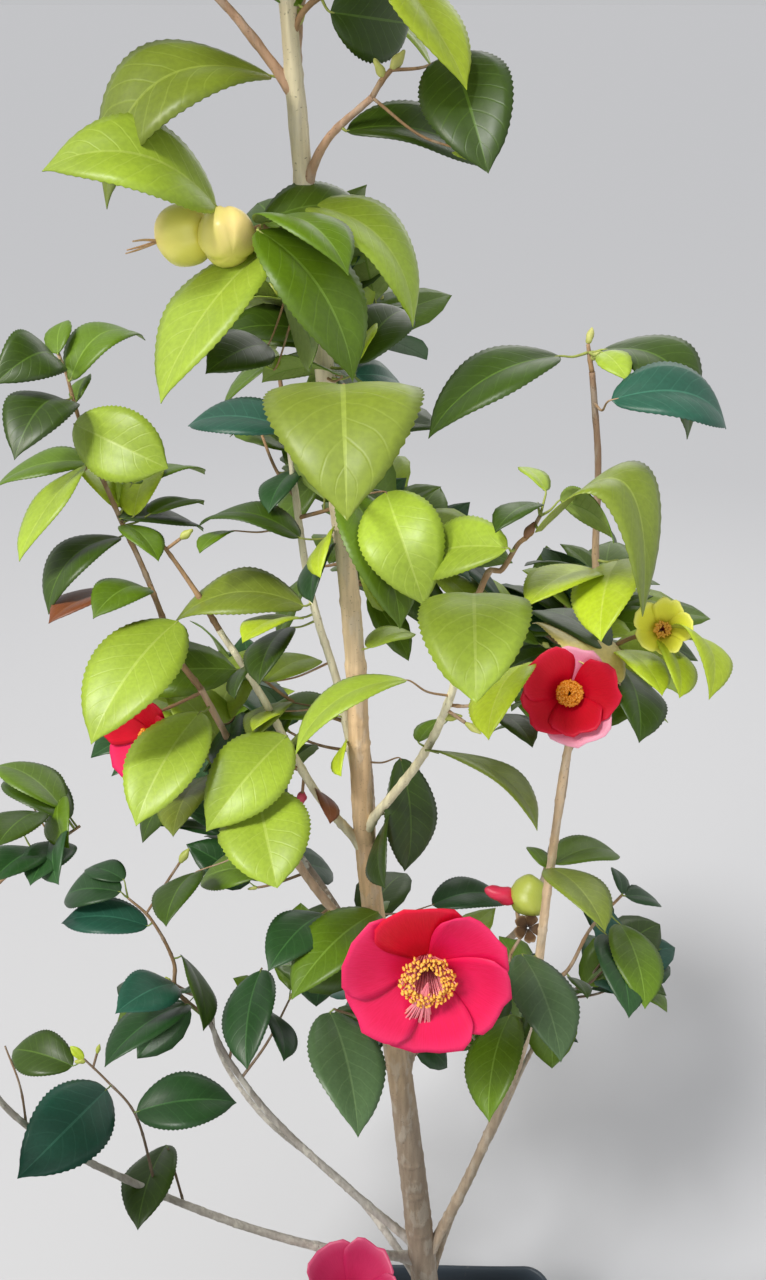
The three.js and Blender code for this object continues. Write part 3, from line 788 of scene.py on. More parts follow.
def swept(name, lines, roundness):
    """One closed mesh of round, tapering lines; each line is its points and its radii."""
    line = bpy.data.curves.new(name + "_line", "CURVE")
    line.dimensions = "3D"
    line.bevel_depth = 1.0
    line.bevel_resolution = roundness
    line.use_fill_caps = True
    for points, radii in lines:
        spline = line.splines.new("POLY")
        spline.points.add(len(points) - 1)
        for knot, point, radius in zip(spline.points, points, radii):
            knot.co = (*point, 1.0)
            knot.radius = radius
    maker = bpy.data.objects.new(name + "_maker", line)
    mesh = bpy.data.meshes.new_from_object(maker)
    bpy.data.objects.remove(maker)
    bpy.data.curves.remove(line)
    bm = bmesh.new()
    bm.from_mesh(mesh)
    bpy.data.meshes.remove(mesh)
    bmesh.ops.remove_doubles(bm, verts=bm.verts, dist=0.01 * MM)
    bmesh.ops.recalc_face_normals(bm, faces=bm.faces)
    return mesh_of(bm, name)


# Trunk and limbs

def trunk_axis(height):
    return Vector((table_value(TRUNK_LEAN, height) * MM, 0, height * MM))


PATHS = {}
TRUNK_STEP = 2.6 * MM
LIMB_STEP = 2.4 * MM
SHOOT_STEP = 2.2 * MM
TRUNK_SCARS = 31 * MM
LIMB_SCARS = 26 * MM
SHOOT_SCARS = 19 * MM
SCAR_HEIGHT = 1.6 * MM
COLLAR_FADE = 6 * MM
YOUNG_TRUNK = 1100


def node_swelling(distance, spacing, size):
    """How much a stem swells near its leaf scars, which lie at uneven distances."""
    offset = (distance + 0.3 * spacing * math.sin(distance * 90)) % spacing - spacing / 2
    return 1 + size * math.exp(-((offset / SCAR_HEIGHT) ** 2))


def lay_trunk():
    """The trunk's points and radii: its lean, taper, root flare and scars."""
    knots = [trunk_axis(h) for h in (TRUNK_FOOT, *[row[0] for row in TRUNK_LEAN[1:]])]
    points = smooth_path(knots, TRUNK_STEP)
    radii = []
    for point in points:
        height = point.z / MM
        diameter = table_value(TRUNK_DIAMETER, height)
        diameter += FLARE_EXTRA * math.exp(-max(0, height - SOIL_TOP) / FLARE_FADE)
        swelling = 0.05 if height < YOUNG_TRUNK else 0.13
        radii.append(diameter / 2 * MM * node_swelling(point.z, TRUNK_SCARS, swelling))
    PATHS["trunk"] = (points, radii)


def lay_limb(name):
    """A limb's points and radii, from inside the trunk, with a collar where it leaves."""
    leaves, (thick, thin), through = LIMBS[name]
    start = trunk_axis(leaves)
    points = smooth_path([start, *[Vector(p) * MM for p in through]], LIMB_STEP)
    radii = []
    gone = 0.0
    collar = table_value(TRUNK_DIAMETER, leaves) / 2 * MM
    for i, point in enumerate(points):
        gone += (point - points[i - 1]).length if i else 0
        share = (i / (len(points) - 1)) ** 0.8
        radius = (thick + (thin - thick) * share) / 2 * MM
        radius *= 1 + 0.55 * math.exp(-max(0, gone - collar) / COLLAR_FADE)
        radii.append(radius * node_swelling(gone + leaves * MM, LIMB_SCARS, 0.15))
    PATHS[name] = (points, radii)


def nearest_on(name, px, py):
    """The point of a path that lies nearest a picture point."""
    points = PATHS[name][0]
    return min(points, key=lambda p: math.dist(to_picture(p)[:2], (px, py)))


def lay_shoot(name):
    """A thin shoot's points and radii, from its limb along its way in the picture."""
    parent, (thick, thin), way = SHOOTS[name]
    anchor = nearest_on(parent, *way[0][:2])
    depth = to_picture(anchor)[2]
    knots = [anchor, *[seen_at(px, py, depth - near * MM) for px, py, near in way[1:]]]
    points = smooth_path(knots, SHOOT_STEP)
    last = len(points) - 1
    radii = [
        (thick + (thin - thick) * i / last) / 2 * MM * node_swelling(i * SHOOT_STEP, SHOOT_SCARS, 0.2)
        for i in range(last + 1)
    ]
    PATHS[name] = (points, radii)


lay_trunk()
for limb_name in LIMBS:
    lay_limb(limb_name)
for shoot_name in SHOOTS:
    lay_shoot(shoot_name)


RIDGES = (330, 330, 26)
LUMPS = 620


def roughened(mesh, coarse, fine):
    """Bark relief: long ridges and small lumps, as vertex moves along the normals."""
    moves = []
    for vertex in mesh.vertices:
        place = vertex.co
        ridge = noise.noise(Vector(a * b for a, b in zip(place, RIDGES)))
        lump = noise.noise(place * LUMPS)
        moves.append(vertex.normal * (ridge * coarse + lump * fine) * MM)
    for vertex, move in zip(mesh.vertices, moves):
        vertex.co += move
    mesh.update()
    return mesh


BARK = {
    "trunk": bark_finish("bark_of_trunk", "#A08F7C", "#E8C698", "#F2E4C0", 0.25, 0.9, 1.3),
    "grey": bark_finish("bark_flaky_grey", "#C9C4BC", "#BDB5AA", "#9C9080", 0.8, 0.6, 0.9),
    "dark": bark_finish("bark_dark", "#CBC6BE", "#84786C", "#94806A", 0.8, 0.8, 0.98),
    "tan": bark_finish("bark_tan", "#B8A690", "#E8CBA6", "#9A7C64", 0.25, 0.86, 1.3),
    "cream": bark_finish("bark_cream", "#F0E6BE", "#F2EAC4", "#F4ECCC", 0.1, 1.0, 1.25),
    "pinkish": bark_finish("bark_pinkish_tan", "#B8A48E", "#D6B898", "#CCA486", 0.2, 1.0, 1.25),
}
BARK_OF = {
    "trunk": "trunk", "bough_low_left": "grey", "bough_front_low_left": "grey",
    "bough_front_low": "grey", "bough_back_low_left": "grey",
    "bough_left_lower": "dark", "bough_back_left": "dark",
    "stem_right": "tan", "bough_front_low_right": "tan", "bough_back_low_right": "tan",
    "stem_second": "cream", "bough_mid_right": "cream", "bough_mid_left": "cream",
}


# Roundness of the mesh, and the height of ridges and of lumps in millimetres
TRUNK_RELIEF = (9, 0.55, 0.16)
LIMB_RELIEF = (5, 0.3, 0.1)


def make_bark():
    """The trunk and limbs, each with bark relief in place of its node."""
    for name in ("trunk", *LIMBS):
        roundness, ridges, lumps = TRUNK_RELIEF if name == "trunk" else LIMB_RELIEF
        mesh = roughened(swept("bark_" + name, [PATHS[name]], roundness), ridges, lumps)
        as_piece("bark_" + name, mesh, [BARK[BARK_OF.get(name, "pinkish")]], [name])


# Leaves

LINES = {"twigs": [], "petioles": []}
SCREEN = []
MASSES = {}
for piece_name, mass_names in LEAF_PIECES.items():
    for mass_name in mass_names:
        low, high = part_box("foliage_" + mass_name)
        MASSES[mass_name] = (piece_name, (low + high) / 2, (high - low) / 2)


def piece_for(point):
    """The leaf piece whose mass lies nearest, by the mass's own size."""
    def distance(mass):
        _, middle, half = MASSES[mass]
        return sum(((point[i] - middle[i]) / half[i]) ** 2 for i in range(3))
    return MASSES[min(MASSES, key=distance)][0]


LEAF_MESHES = {}
for piece_name in LEAF_PIECES:
    LEAF_MESHES[piece_name] = bmesh.new()
    LEAF_MESHES[piece_name].loops.layers.uv.verify()


# Shares of half the blade's width: midrib, its sinking, the rolled edge and the teeth
RIB_SHARE = 0.032
RIB_SINK = 0.02
EDGE_ROLL = 0.16
TOOTH = 0.02

# Shares of the blade's length: droop of the tip, and its start
DROOP = 0.5
DROOP_FROM = 0.8

# The stalk under the blade: its share of the length, the share of the bend there, its depth below
STALK_RUN = 0.08
BOW_AT_RUN = 0.29
RUN_BELOW = 1.3 * MM

# How early an outline widens and how full it is
USUAL_FORM = (0.9, 0.62)

# Lengthwise and crosswise faces of large, small and filling leaves
LARGE_GRID = (46, 9)
SMALL_GRID = (14, 5)
FILL_GRID = (10, 5)


def outline(t, early, fullness):
    """The blade's width, as a share, along its length: rounded base, short drawn-out tip."""
    if not 0 < t < 1:
        return 0.0
    tip = 1 - 0.45 * math.exp(-((1 - t) / 0.07) ** 2)
    return math.sin(math.pi * t ** early) ** (fullness + 0.2 * t) * tip


def blade(start, chord, up, size, width, tint, grid, rng,
          arch=0.1, sweep=0.0, fold=0.2, twist=0.0, form=USUAL_FORM, rise=None):
    """One leaf blade in its own outline; gives the stalk's way on from its base, under its midrib."""
    segments, columns = grid
    bm = LEAF_MESHES[piece_for(start + chord / 2)]
    uv = bm.loops.layers.uv.active
    made = bmesh.ops.create_grid(bm, x_segments=segments, y_segments=columns, size=1.0)["verts"]
    side = across_of(chord.normalized(), up)
    up = chord.normalized().cross(side)
    bent = rise or (up * arch + side * sweep) * size
    strip = 1 / columns
    phase = random_turn(rng)
    wave = rng.uniform(0.02, 0.07)
    map_place = {}
    for vertex in made:
        t = (vertex.co.x + 1) / 2
        s = vertex.co.y
        if abs(s) > strip - 1e-4:
            s = math.copysign(RIB_SHARE + (abs(s) - strip) / (1 - strip) * (1 - RIB_SHARE), s)
        map_place[vertex] = (t, (s + 1) / 2)
        half = width / 2 * outline(t, *form)
        if abs(s) > 0.99:
            half *= 1 + TOOTH * math.cos(t * segments * math.pi)
        turn = twist * (t - 0.3)
        out = side * math.cos(turn) + up * math.sin(turn)
        lift = up * math.cos(turn) - side * math.sin(turn)
        ripple = wave * math.sin(7 * t + phase + (2 if s > 0 else 0))
        raised = fold * abs(s) - EDGE_ROLL * abs(s) ** 3 + ripple * s * s
        if abs(s) < 2 * RIB_SHARE:
            raised -= RIB_SINK
        bow = 4 * t * (1 - t)
        droop = -DROOP * max(0.0, t - DROOP_FROM) ** 2
        vertex.co = (start + chord * t + bent * bow + up * droop * size
                     + out * (s * half) + lift * (raised * half))
    for face in {f for v in made for f in v.link_faces}:
        middle = sum(map_place[v][1] for v in face.verts) / 4
        on_rib = abs(middle - 0.5) < RIB_SHARE / 2
        face.material_index = RIB_NUMBER[tint] if on_rib else TINT_NUMBER[tint]
        for loop in face.loops:
            loop[uv].uv = map_place[loop.vert]
    return chord * STALK_RUN + bent * BOW_AT_RUN - up * RUN_BELOW


LONGEST_PETIOLE = 26 * MM
STALK_STEP = 2.5 * MM
STALK_SAG = 0.08
STALK_END = 0.8


def stalk(anchor, start, run, thick):
    """The stalk between the limb and the blade, running on under the midrib; a long one is a twig."""
    reach = (start - anchor).length
    sag = Vector((0, 0, -STALK_SAG * reach))
    points = smooth_path([anchor, anchor.lerp(start, 0.55) + sag, start, start + run], STALK_STEP)
    kind = "petioles" if reach < LONGEST_PETIOLE else "twigs"
    last = len(points) - 1
    radii = [(thick - (thick - STALK_END) * i / last) / 2 * MM for i in range(last + 1)]
    LINES[kind].append((points, radii))


def turned_up(chord, view, across, under):
    """The blade's upper direction that gives its seen width, with the right side to the camera."""
    flat = view.cross(chord).normalized()
    deep = chord.cross(flat).normalized()
    best = None
    for sign in (1, -1):
        side = flat * across + deep * sign * math.sqrt(max(0.0, 1 - across * across))
        for way in (1, -1):
            up = side.cross(chord).normalized() * way
            facing = -up.dot(view) * (-1 if under else 1)
            score = facing + 0.6 * up.z
            if best is None or score > best[0]:
                best = (score, up)
    return best[1]


# Real length of the shown leaves, how much longer than seen they may be, and their width by length
LEAST_LEAF = 72 * MM
LONGEST_LEAF = 105 * MM
LEAST_STRETCH = 1.05
MOST_STRETCH = 1.5
WIDTH_SHARES = (0.56, 0.76)

# The seen length below which a leaf is made from the small grid
SMALL_LEAF = 30 * MM

# What the arch adds to a leaf's length, by its square
ARC_EXTRA = 2.67

# The least fall, as a share of the seen length, that brings a tip nearer and not further away
DOWNWARD = 0.3

# How much nearer than its base the tip and the crown of an arching leaf lie
CROWN_TIP_NEAR = 14 * MM
CROWN_NEAR = 8 * MM
FRONT_STALK = 1.7


def front_leaf(limb, base, tip, wide, tint, rng, near=0, length=None, far=None, under=False,
               arch=0.1, sweep=0.0, fold=0.2, form=USUAL_FORM, crown=None):
    """A leaf placed by its picture points, hung on the nearest point of its limb.

    Its length is the real one, so its tip comes nearer or goes further until it is seen in place.
    A tip that isn't well below its base goes further. A leaf with a crown point arches through it.
    """
    anchor = nearest_on(limb, *base)
    depth = to_picture(anchor)[2] - near * MM
    start = seen_at(*base, depth)
    apparent = math.dist(base, tip) * depth / FOCAL
    least = min(LEAST_LEAF, MOST_STRETCH * apparent)
    size = length * MM if length else clamp(LEAST_STRETCH * apparent, least, LONGEST_LEAF)
    span = size / (1 + ARC_EXTRA * arch * arch)
    ray = sight(*tip)
    back = EYE - start
    half_b = ray.dot(back) / ray.dot(ray)
    rest = half_b ** 2 - (back.dot(back) - span * span) / ray.dot(ray)
    if far is None:
        far = tip[1] - base[1] < DOWNWARD * math.dist(base, tip)
    end = EYE + ray * (-half_b + (1 if far else -1) * math.sqrt(max(0.0, rest)))
    rise = None
    if crown:
        end = seen_at(*tip, depth - CROWN_TIP_NEAR)
        rise = seen_at(*crown, depth - CROWN_NEAR) - (start + end) / 2
    chord = end - start
    view = ((start + end) / 2 - EYE).normalized()
    seen = wide * to_picture((start + end) / 2)[2] / FOCAL
    width = clamp(seen, *[share * size for share in WIDTH_SHARES])
    up = turned_up(chord.normalized(), view, clamp(seen / width, 0.1, 1.0), under)
    grid = SMALL_GRID if apparent < SMALL_LEAF else LARGE_GRID
    run = blade(start, chord, up, size, width, tint, grid, rng, arch=arch, sweep=sweep, fold=fold,
                twist=rng.uniform(-0.25, 0.25), form=form, rise=rise)
    stalk(anchor, start, run, FRONT_STALK)
    if crown:
        return
    middle = ((base[0] + tip[0]) / 2, (base[1] + tip[1]) / 2)
    along = math.dist(base, tip) / 2
    heading = ((tip[0] - base[0]) / 2 / along, (tip[1] - base[1]) / 2 / along)
    SCREEN.append((middle, *heading, along, wide / 2, depth))


BEHIND = 12 * MM
FRAME_MARGIN = 20
NEAREST_SEEN = 0.2


def in_oval(px, py, middle, along, across, ax=1.0, ay=0.0):
    dx, dy = px - middle[0], py - middle[1]
    return ((dx * ax + dy * ay) / along) ** 2 + ((dx * ay - dy * ax) / across) ** 2 < 1


def hidden(point, thickets=THICKETS, share=1.0):
    """Whether a point may carry a leaf: out of the picture, behind a front leaf, or in a thicket."""
    px, py, depth = to_picture(point)
    framed = all(-FRAME_MARGIN < at < side + FRAME_MARGIN for at, side in zip((px, py), PICTURE))
    if depth < NEAREST_SEEN or not framed:
        return True
    covers = False
    for middle, ax, ay, along, across, near in SCREEN:
        if in_oval(px, py, middle, along * share, across * share, ax, ay):
            if depth > near + BEHIND:
                return True
            covers = True
    return not covers and any(in_oval(px, py, *oval) for oval in thickets)


def inside(point, mass, slack=10 * MM):
    _, middle, half = MASSES[mass]
    return all(abs(point[i] - middle[i]) < half[i] + slack for i in range(3))


# The filling leaves' tints paint light by height: mostly sunlit tints in the crown, mostly shaded ones
# in the low pieces
FILL_TINTS = {
    "leaves_crown": ("sun", "sun", "mid", "young_and_backlit_lime", "mid", "shaded_olive"),
    "leaves_upper": ("mid", "shaded_olive", "sun", "mid"),
    "leaves_left": ("mid", "shaded_olive", "sun", "shade"),
    "leaves_middle": ("mid", "shaded_olive", "shade"),
    "leaves_right": ("mid", "shaded_olive", "sun"),
    "leaves_low_left": ("shade", "shaded_teal", "shaded_olive", "mid"),
    "leaves_back": ("mid", "shaded_olive", "sun", "shade", "mid"),
    "leaves_back_low": ("shade", "shaded_teal", "shaded_olive", "mid"),
    "leaves_front_low": ("shade", "shaded_teal", "mid", "shaded_olive"),
}
BUD_PLACES = []
TAKEN = []
FLOWERS = []

# The branching rule: how much of a leaf the shown leaves must hide, and its counts and sizes
HIDDEN_SHARE = {"leaves_back": 0.7, "leaves_back_low": 0.7}
BACK_HIDDEN_SHARE = 0.84
BACK_FROM = 50 * MM
SHOOTS_FOR_MASS = 52
SHORTEST_SHOOT = 20 * MM
LONGEST_SHOOT = 150 * MM
SIDE_SHOOT = (34, 95)
LEAF_SPACE = 17 * MM
LEAF_STEP = 14 * MM
FIRST_LEAF = 0.25
TIP_LEAVES = 0.93
SHOOT_SAG = 0.1
LEAF_TILT = (-0.4, 0.1)
LEAF_STALK = 8 * MM
LEAF_LENGTH = (58, 86)
LEAF_WIDTH = (0.54, 0.62)
SAME_TINT = 0.75
FILL_STALK = 1.5
TWIG_THICK = 2.8
TWIG_TAPER = 1.1
BARE_TRUNK = 0.5
CARRIERS_FROM = 0.4
SIDE_SHOOTS_FROM = 0.56

# Places on a leaf, as shares of its length along it and out to a side
LEAF_CHECKS = ((0.1, 0), (0.55, 0), (1.08, 0), (0.4, 0.26), (0.4, -0.26), (0.75, 0.18), (0.75, -0.18))


def in_box(point):
    """Whether a point lies in the fixed model's box, above the bare foot of the trunk."""
    low, high = (Vector(corner) for corner in CAD_BOX)
    return all(low[i] < point[i] < high[i] for i in range(3)) and point.z > BARE_TRUNK


def fill_leaf(point, direction, size, mass, needed):
    """Whether a leaf stays in its mass, apart from other leaves and flowers, and out of open gaps."""
    chord = direction * size
    side = across_of(direction)
    middle = point + chord * 0.5
    kept = inside(point + chord, mass) if mass else in_box(point + chord)
    if not kept or any((middle - other).length < LEAF_SPACE for other in TAKEN):
        return False
    checks = [point + chord * share + side * size * out for share, out in LEAF_CHECKS]
    if any((check - centre).length < reach for check in checks for centre, reach in FLOWERS):
        return False
    return sum(map(hidden, checks)) >= needed * len(checks)


def grow_shoot(start, end, mass, tints, rng, needed):
    """One shoot of the branching rule: a bowed twig with leaves a golden angle apart."""
    middle = start.lerp(end, 0.5) + Vector((0, 0, -SHOOT_SAG * (end - start).length))
    points = smooth_path([start, middle, end], 3 * MM)
    last = len(points) - 1
    spacing = LEAF_STEP / (end - start).length
    share = FIRST_LEAF
    turn = random_turn(rng)
    tint = rng.choice(tints)
    leaves = []
    while share < 1.001:
        i = min(last, round(share * last))
        heading = (points[i] - points[max(0, i - 3)]).normalized()
        out = Matrix.Rotation(turn, 3, heading) @ across_of(heading)
        ending = share > TIP_LEAVES
        direction = heading * (0.9 if ending else 0.5) + out * (0.65 if ending else 0.9)
        direction = (direction + Vector((0, 0, rng.uniform(*LEAF_TILT)))).normalized()
        size = rng.uniform(*LEAF_LENGTH) * MM
        if fill_leaf(points[i], direction, size, mass, needed):
            leaves.append((i, direction, size, tint if rng.random() < SAME_TINT else rng.choice(tints)))
            TAKEN.append(points[i] + direction * size * 0.5)
        turn += GOLDEN_ANGLE
        share += spacing * (0.5 if ending else 1)
    reached = max([leaf[0] for leaf in leaves], default=0)
    bare = sum(not hidden(p) for p in points[:reached:3]) * 3
    if len(leaves) < 2 or bare > (0.5 if needed < 1 else 0.3) * reached:
        del TAKEN[len(TAKEN) - len(leaves):]
        return
    for i, direction, size, leaf_tint in leaves:
        base = points[i] + direction * LEAF_STALK
        side = across_of(direction)
        up = direction.cross(side) + side * rng.uniform(-0.45, 0.45)
        chord = direction * size * 0.97
        up = (up if up.z > 0 else -up).normalized()
        run = blade(base, chord, up, size, size * rng.uniform(*LEAF_WIDTH), leaf_tint, FILL_GRID, rng,
                    arch=rng.uniform(0.03, 0.15), sweep=rng.uniform(-0.05, 0.05),
                    fold=rng.uniform(0.12, 0.3), twist=rng.uniform(-0.3, 0.3))
        stalk(points[i], base, run, FILL_STALK)
    kept = points[:reached + 1]
    radii = [(TWIG_THICK - TWIG_TAPER * i / last) / 2 * MM for i in range(len(kept))]
    LINES["twigs"].append((kept, radii))
    BUD_PLACES.append((kept[-1], (kept[-1] - kept[-3]).normalized(), rng.uniform(0.8, 1.2)))


def fill_mass(mass, number):
    """Seeded shoots from the nearest limbs into one mass."""
    rng = random.Random(SEED + number)
    piece, middle, half = MASSES[mass]
    carriers = [p for points, _ in PATHS.values() for p in points[::6] if p.z > CARRIERS_FROM]
    for i in range(SHOOTS_FOR_MASS):
        rise = 1 - 2 * (i + 0.5) / SHOOTS_FOR_MASS
        ring = math.sqrt(1 - rise * rise)
        angle = i * GOLDEN_ANGLE + number
        edge = Vector((half.x * ring * math.cos(angle), half.y * ring * math.sin(angle), half.z * rise))
        end = middle + edge * rng.uniform(0.3, 0.85)
        start = min(carriers, key=lambda p: (p - end).length + 0.3 * (p - middle).length)
        if SHORTEST_SHOOT < (end - start).length < LONGEST_SHOOT:
            grow_shoot(start, end, mass, FILL_TINTS[piece], rng, HIDDEN_SHARE.get(piece, 1.0))


def dress_limb(name, rng):
    """Leafy side shoots along a limb, where the front view has room for them."""
    points = PATHS[name][0]
    turn = random_turn(rng)
    for i in range(len(points) // 4, len(points) - 2, 5):
        point = points[i]
        turn += GOLDEN_ANGLE
        if point.z < SIDE_SHOOTS_FROM:
            continue
        heading = (points[i + 2] - point).normalized()
        out = Matrix.Rotation(turn, 3, heading) @ across_of(heading)
        reach = rng.uniform(*SIDE_SHOOT) * MM
        end = point + (heading * 0.5 + out).normalized() * reach
        if in_box(end):
            needed = BACK_HIDDEN_SHARE if end.y > BACK_FROM else 1.0
            grow_shoot(point, end, None, FILL_TINTS[piece_for(end)], rng, needed)


def make_front_leaves():
    """The leaves that the photograph shows, each in its own place."""
    rng = random.Random(SEED)
    for limb, rows in LEAVES.items():
        for base, tip, wide, tint, extra in rows:
            front_leaf(limb, base, tip, wide, tint, rng, **extra)


LEAF_THICKNESS = 0.45 * MM


def make_leaves():
    """The rest of the leaves, then all of them joined by region, each piece in place of its masses."""
    for number, mass in enumerate(MASSES):
        fill_mass(mass, number)
    rng = random.Random(SEED + 500)
    for name in ("trunk", *LIMBS):
        dress_limb(name, rng)
    finishes = leaf_finishes()
    for name, masses in LEAF_PIECES.items():
        mesh = mesh_of(LEAF_MESHES[name], name)
        piece = as_piece(name, mesh, finishes, ["foliage_" + mass for mass in masses])
        wall = piece.modifiers.new("thickness", "SOLIDIFY")
        wall.thickness = LEAF_THICKNESS
        wall.offset = -1.0
        wall.material_offset = 1


# Blossom

# Petal finishes: name, then the petal's colour, its deep base and veins, its pale rim, bump and gloss
PETAL_FINISHES = {
    "red": ("petal_red", "#CC0424", "#A80010", "#DE1C44", 0.25, 0.6, 0.25),
    "pink": ("petal_pink", "#D81450", "#C00626", "#E23C72", 0.25, 0.6, 0.25),
    "green": ("sepal_green", "#A9B552", "#6E7F2E", "#D6C98A"),
    "yellow": ("petal_yellow_green", "#F2F04A", "#D8DC3C", "#F8F4A0"),
    "brown": ("dry_calyx", "#5E452E", "#0E0906", "#A88A66", 0.4),
    "blush": ("petal_blush", "#F08AA6", "#E0688A", "#F8C4D2"),
    "rose": ("petal_rose", "#BE2258", "#A01440", "#DC6A90"),
}
TONE_NUMBER = {tone: number for number, tone in enumerate(PETAL_FINISHES)}
PETAL_GRID = (12, 10)
PETAL_THICKNESS = 0.5 * MM
PETALS = bmesh.new()
PETALS.loops.layers.uv.verify()
FILAMENTS = []
ANTHERS = bmesh.new()

# Shares of the petal's length: notch in its rim, outer part bent back, one edge above the other
NOTCH = 0.06
REFLEX = 0.07
OVERLAP = 0.055


def petal(origin, axis, turn, radius, cup, spread, lift, tone, rng, notch=NOTCH, reflex=REFLEX):
    """One petal: a grid bent round the flower's axis, one edge over its neighbour, its rim notched."""
    uv = PETALS.loops.layers.uv.active
    along, across = PETAL_GRID
    made = bmesh.ops.create_grid(PETALS, x_segments=along, y_segments=across, size=1.0)["verts"]
    first = across_of(axis)
    second = axis.cross(first)
    phase = random_turn(rng)
    map_place = {}
    for vertex in made:
        t = (vertex.co.x + 1) / 2
        s = vertex.co.y
        map_place[vertex] = (t, (s + 1) / 2)
        angle = turn + s * spread * (0.8 + 0.2 * math.sin(math.pi * min(1.0, 0.3 + 0.6 * t)))
        rim = 1 - 0.2 * abs(s) ** 2.4 * t - notch * math.exp(-(s / 0.16) ** 2) * t ** 5
        rim += 0.024 * math.sin(9 * s + phase) * t ** 4
        out = radius * (0.08 + 0.92 * t ** 0.92) * rim
        reach = out / radius
        height = cup * reach ** 1.25 - reflex * radius * reach ** 5 + lift * reach
        height += OVERLAP * radius * s * reach + 0.045 * radius * math.sin(5 * angle) * reach ** 3
        radial = first * math.cos(angle) + second * math.sin(angle)
        vertex.co = origin + radial * out + axis * height
    for face in {f for v in made for f in v.link_faces}:
        face.material_index = TONE_NUMBER[tone]
        for loop in face.loops:
            loop[uv].uv = map_place[loop.vert]


FILAMENT_RADIUS = 0.42 * MM
STYLE_RADIUS = 0.5 * MM
ANTHER_RADIUS = 1.25 * MM
ANTHER_SHAPE = (1.0, 0.62, 1.5, 1.0)


def stamens(origin, axis, radius, length, count, rng, hollow):
    """Filaments joined low down, with a golden anther on each, round an open middle."""
    first = across_of(axis)
    second = axis.cross(first)
    for i in range(count):
        angle = i * GOLDEN_ANGLE
        share = math.sqrt(hollow + (1 - hollow) * (i + 0.5) / count)
        radial = first * math.cos(angle) + second * math.sin(angle)
        tall = length * rng.uniform(0.82, 1.05) * (1 - 0.12 * share)
        root = origin + radial * radius * 0.28 * (0.4 + share)
        top = origin + axis * tall + radial * radius * (0.16 + 0.9 * share)
        bend = root.lerp(top, 0.5) + axis * tall * 0.12 + radial * radius * 0.05
        FILAMENTS.append(even_line([root, bend, top], tall / 5, FILAMENT_RADIUS))
        turn = Matrix.Rotation(rng.uniform(0, 3.14), 4, axis)
        lean = Matrix.Rotation(rng.uniform(-0.6, 0.6), 4, radial)
        aim = axis.to_track_quat("Z", "Y").to_matrix().to_4x4()
        place = Matrix.Translation(top) @ turn @ lean @ aim @ Matrix.Diagonal(ANTHER_SHAPE)
        bmesh.ops.create_icosphere(ANTHERS, subdivisions=1, radius=ANTHER_RADIUS, matrix=place)


SEPALS = 5
FLOWER_STALK = 1.7 * MM


def ring_of_sepals(origin, axis, radius, cup, spread, tone, rng, turn=0.0, lift=0.0, **rim):
    """Five short petals round the foot of a flower, a bud or a fruit."""
    for i in range(SEPALS):
        petal(origin, axis, i * math.tau / SEPALS + turn, radius, cup, spread, lift, tone, rng, **rim)


def straight_stalk(start, end, step, radius):
    """A short straight twig of one thickness."""
    LINES["twigs"].append(even_line([start, start.lerp(end, 0.5), end], step, radius))


def flower(seat, centre, radius, cup, tones, rng, facing=None, stamen=0.27, count=80, spread=0.8,
           hollow=0.08, tails=0):
    """An open flower with petals, sepals, stamens and drooping styles, and the stalk to its seat."""
    axis = (Vector(facing) if facing else centre - seat).normalized()
    origin = centre - axis * (cup * 0.3)
    for tone, share, turn in tones:
        behind = -0.12 * radius if tone == "blush" else 0.0
        petal(origin, axis, math.radians(turn), radius * share, cup, spread, behind, tone, rng)
    ring_of_sepals(origin - axis * 2.2 * MM, axis, radius * 0.24, cup * 0.1, 0.7, "green", rng,
                   turn=0.5, lift=-0.6 * MM, notch=0.0)
    height = radius * stamen * 1.15 + cup * 0.25
    stamens(origin - axis * 0.5 * MM, axis, radius * stamen, height, count, rng, hollow)
    for i in range(tails):
        drop = Vector((0.028 * (i - tails / 2) - 0.2, 0, -1)) * radius * rng.uniform(0.46, 0.8)
        top = origin + axis * height * 0.8
        bend = top + drop * 0.5 + axis * 3 * MM
        FILAMENTS.append(even_line([top, bend, top + drop], 2 * MM, STYLE_RADIUS))
    FLOWERS.append((centre, radius * 0.9))
    neck = origin - axis * 10 * MM
    way = [seat, neck.lerp(seat, 0.4), neck, origin - axis * 1.5 * MM]
    LINES["twigs"].append(even_line(way, STALK_STEP, FLOWER_STALK))


def flower_on(limb, seat_px, centre_px, radius, cup, tones, rng, near=20, **extra):
    """A flower placed by picture points, seated on its limb."""
    seat = nearest_on(limb, *seat_px)
    centre = seen_at(*centre_px, to_picture(seat)[2] - near * MM)
    flower(seat, centre, radius * MM, cup * MM, tones, rng, **extra)
    px, py, depth = to_picture(centre)
    across = radius * MM * FOCAL / depth
    SCREEN.append(((px, py), 1.0, 0.0, across, across, depth))


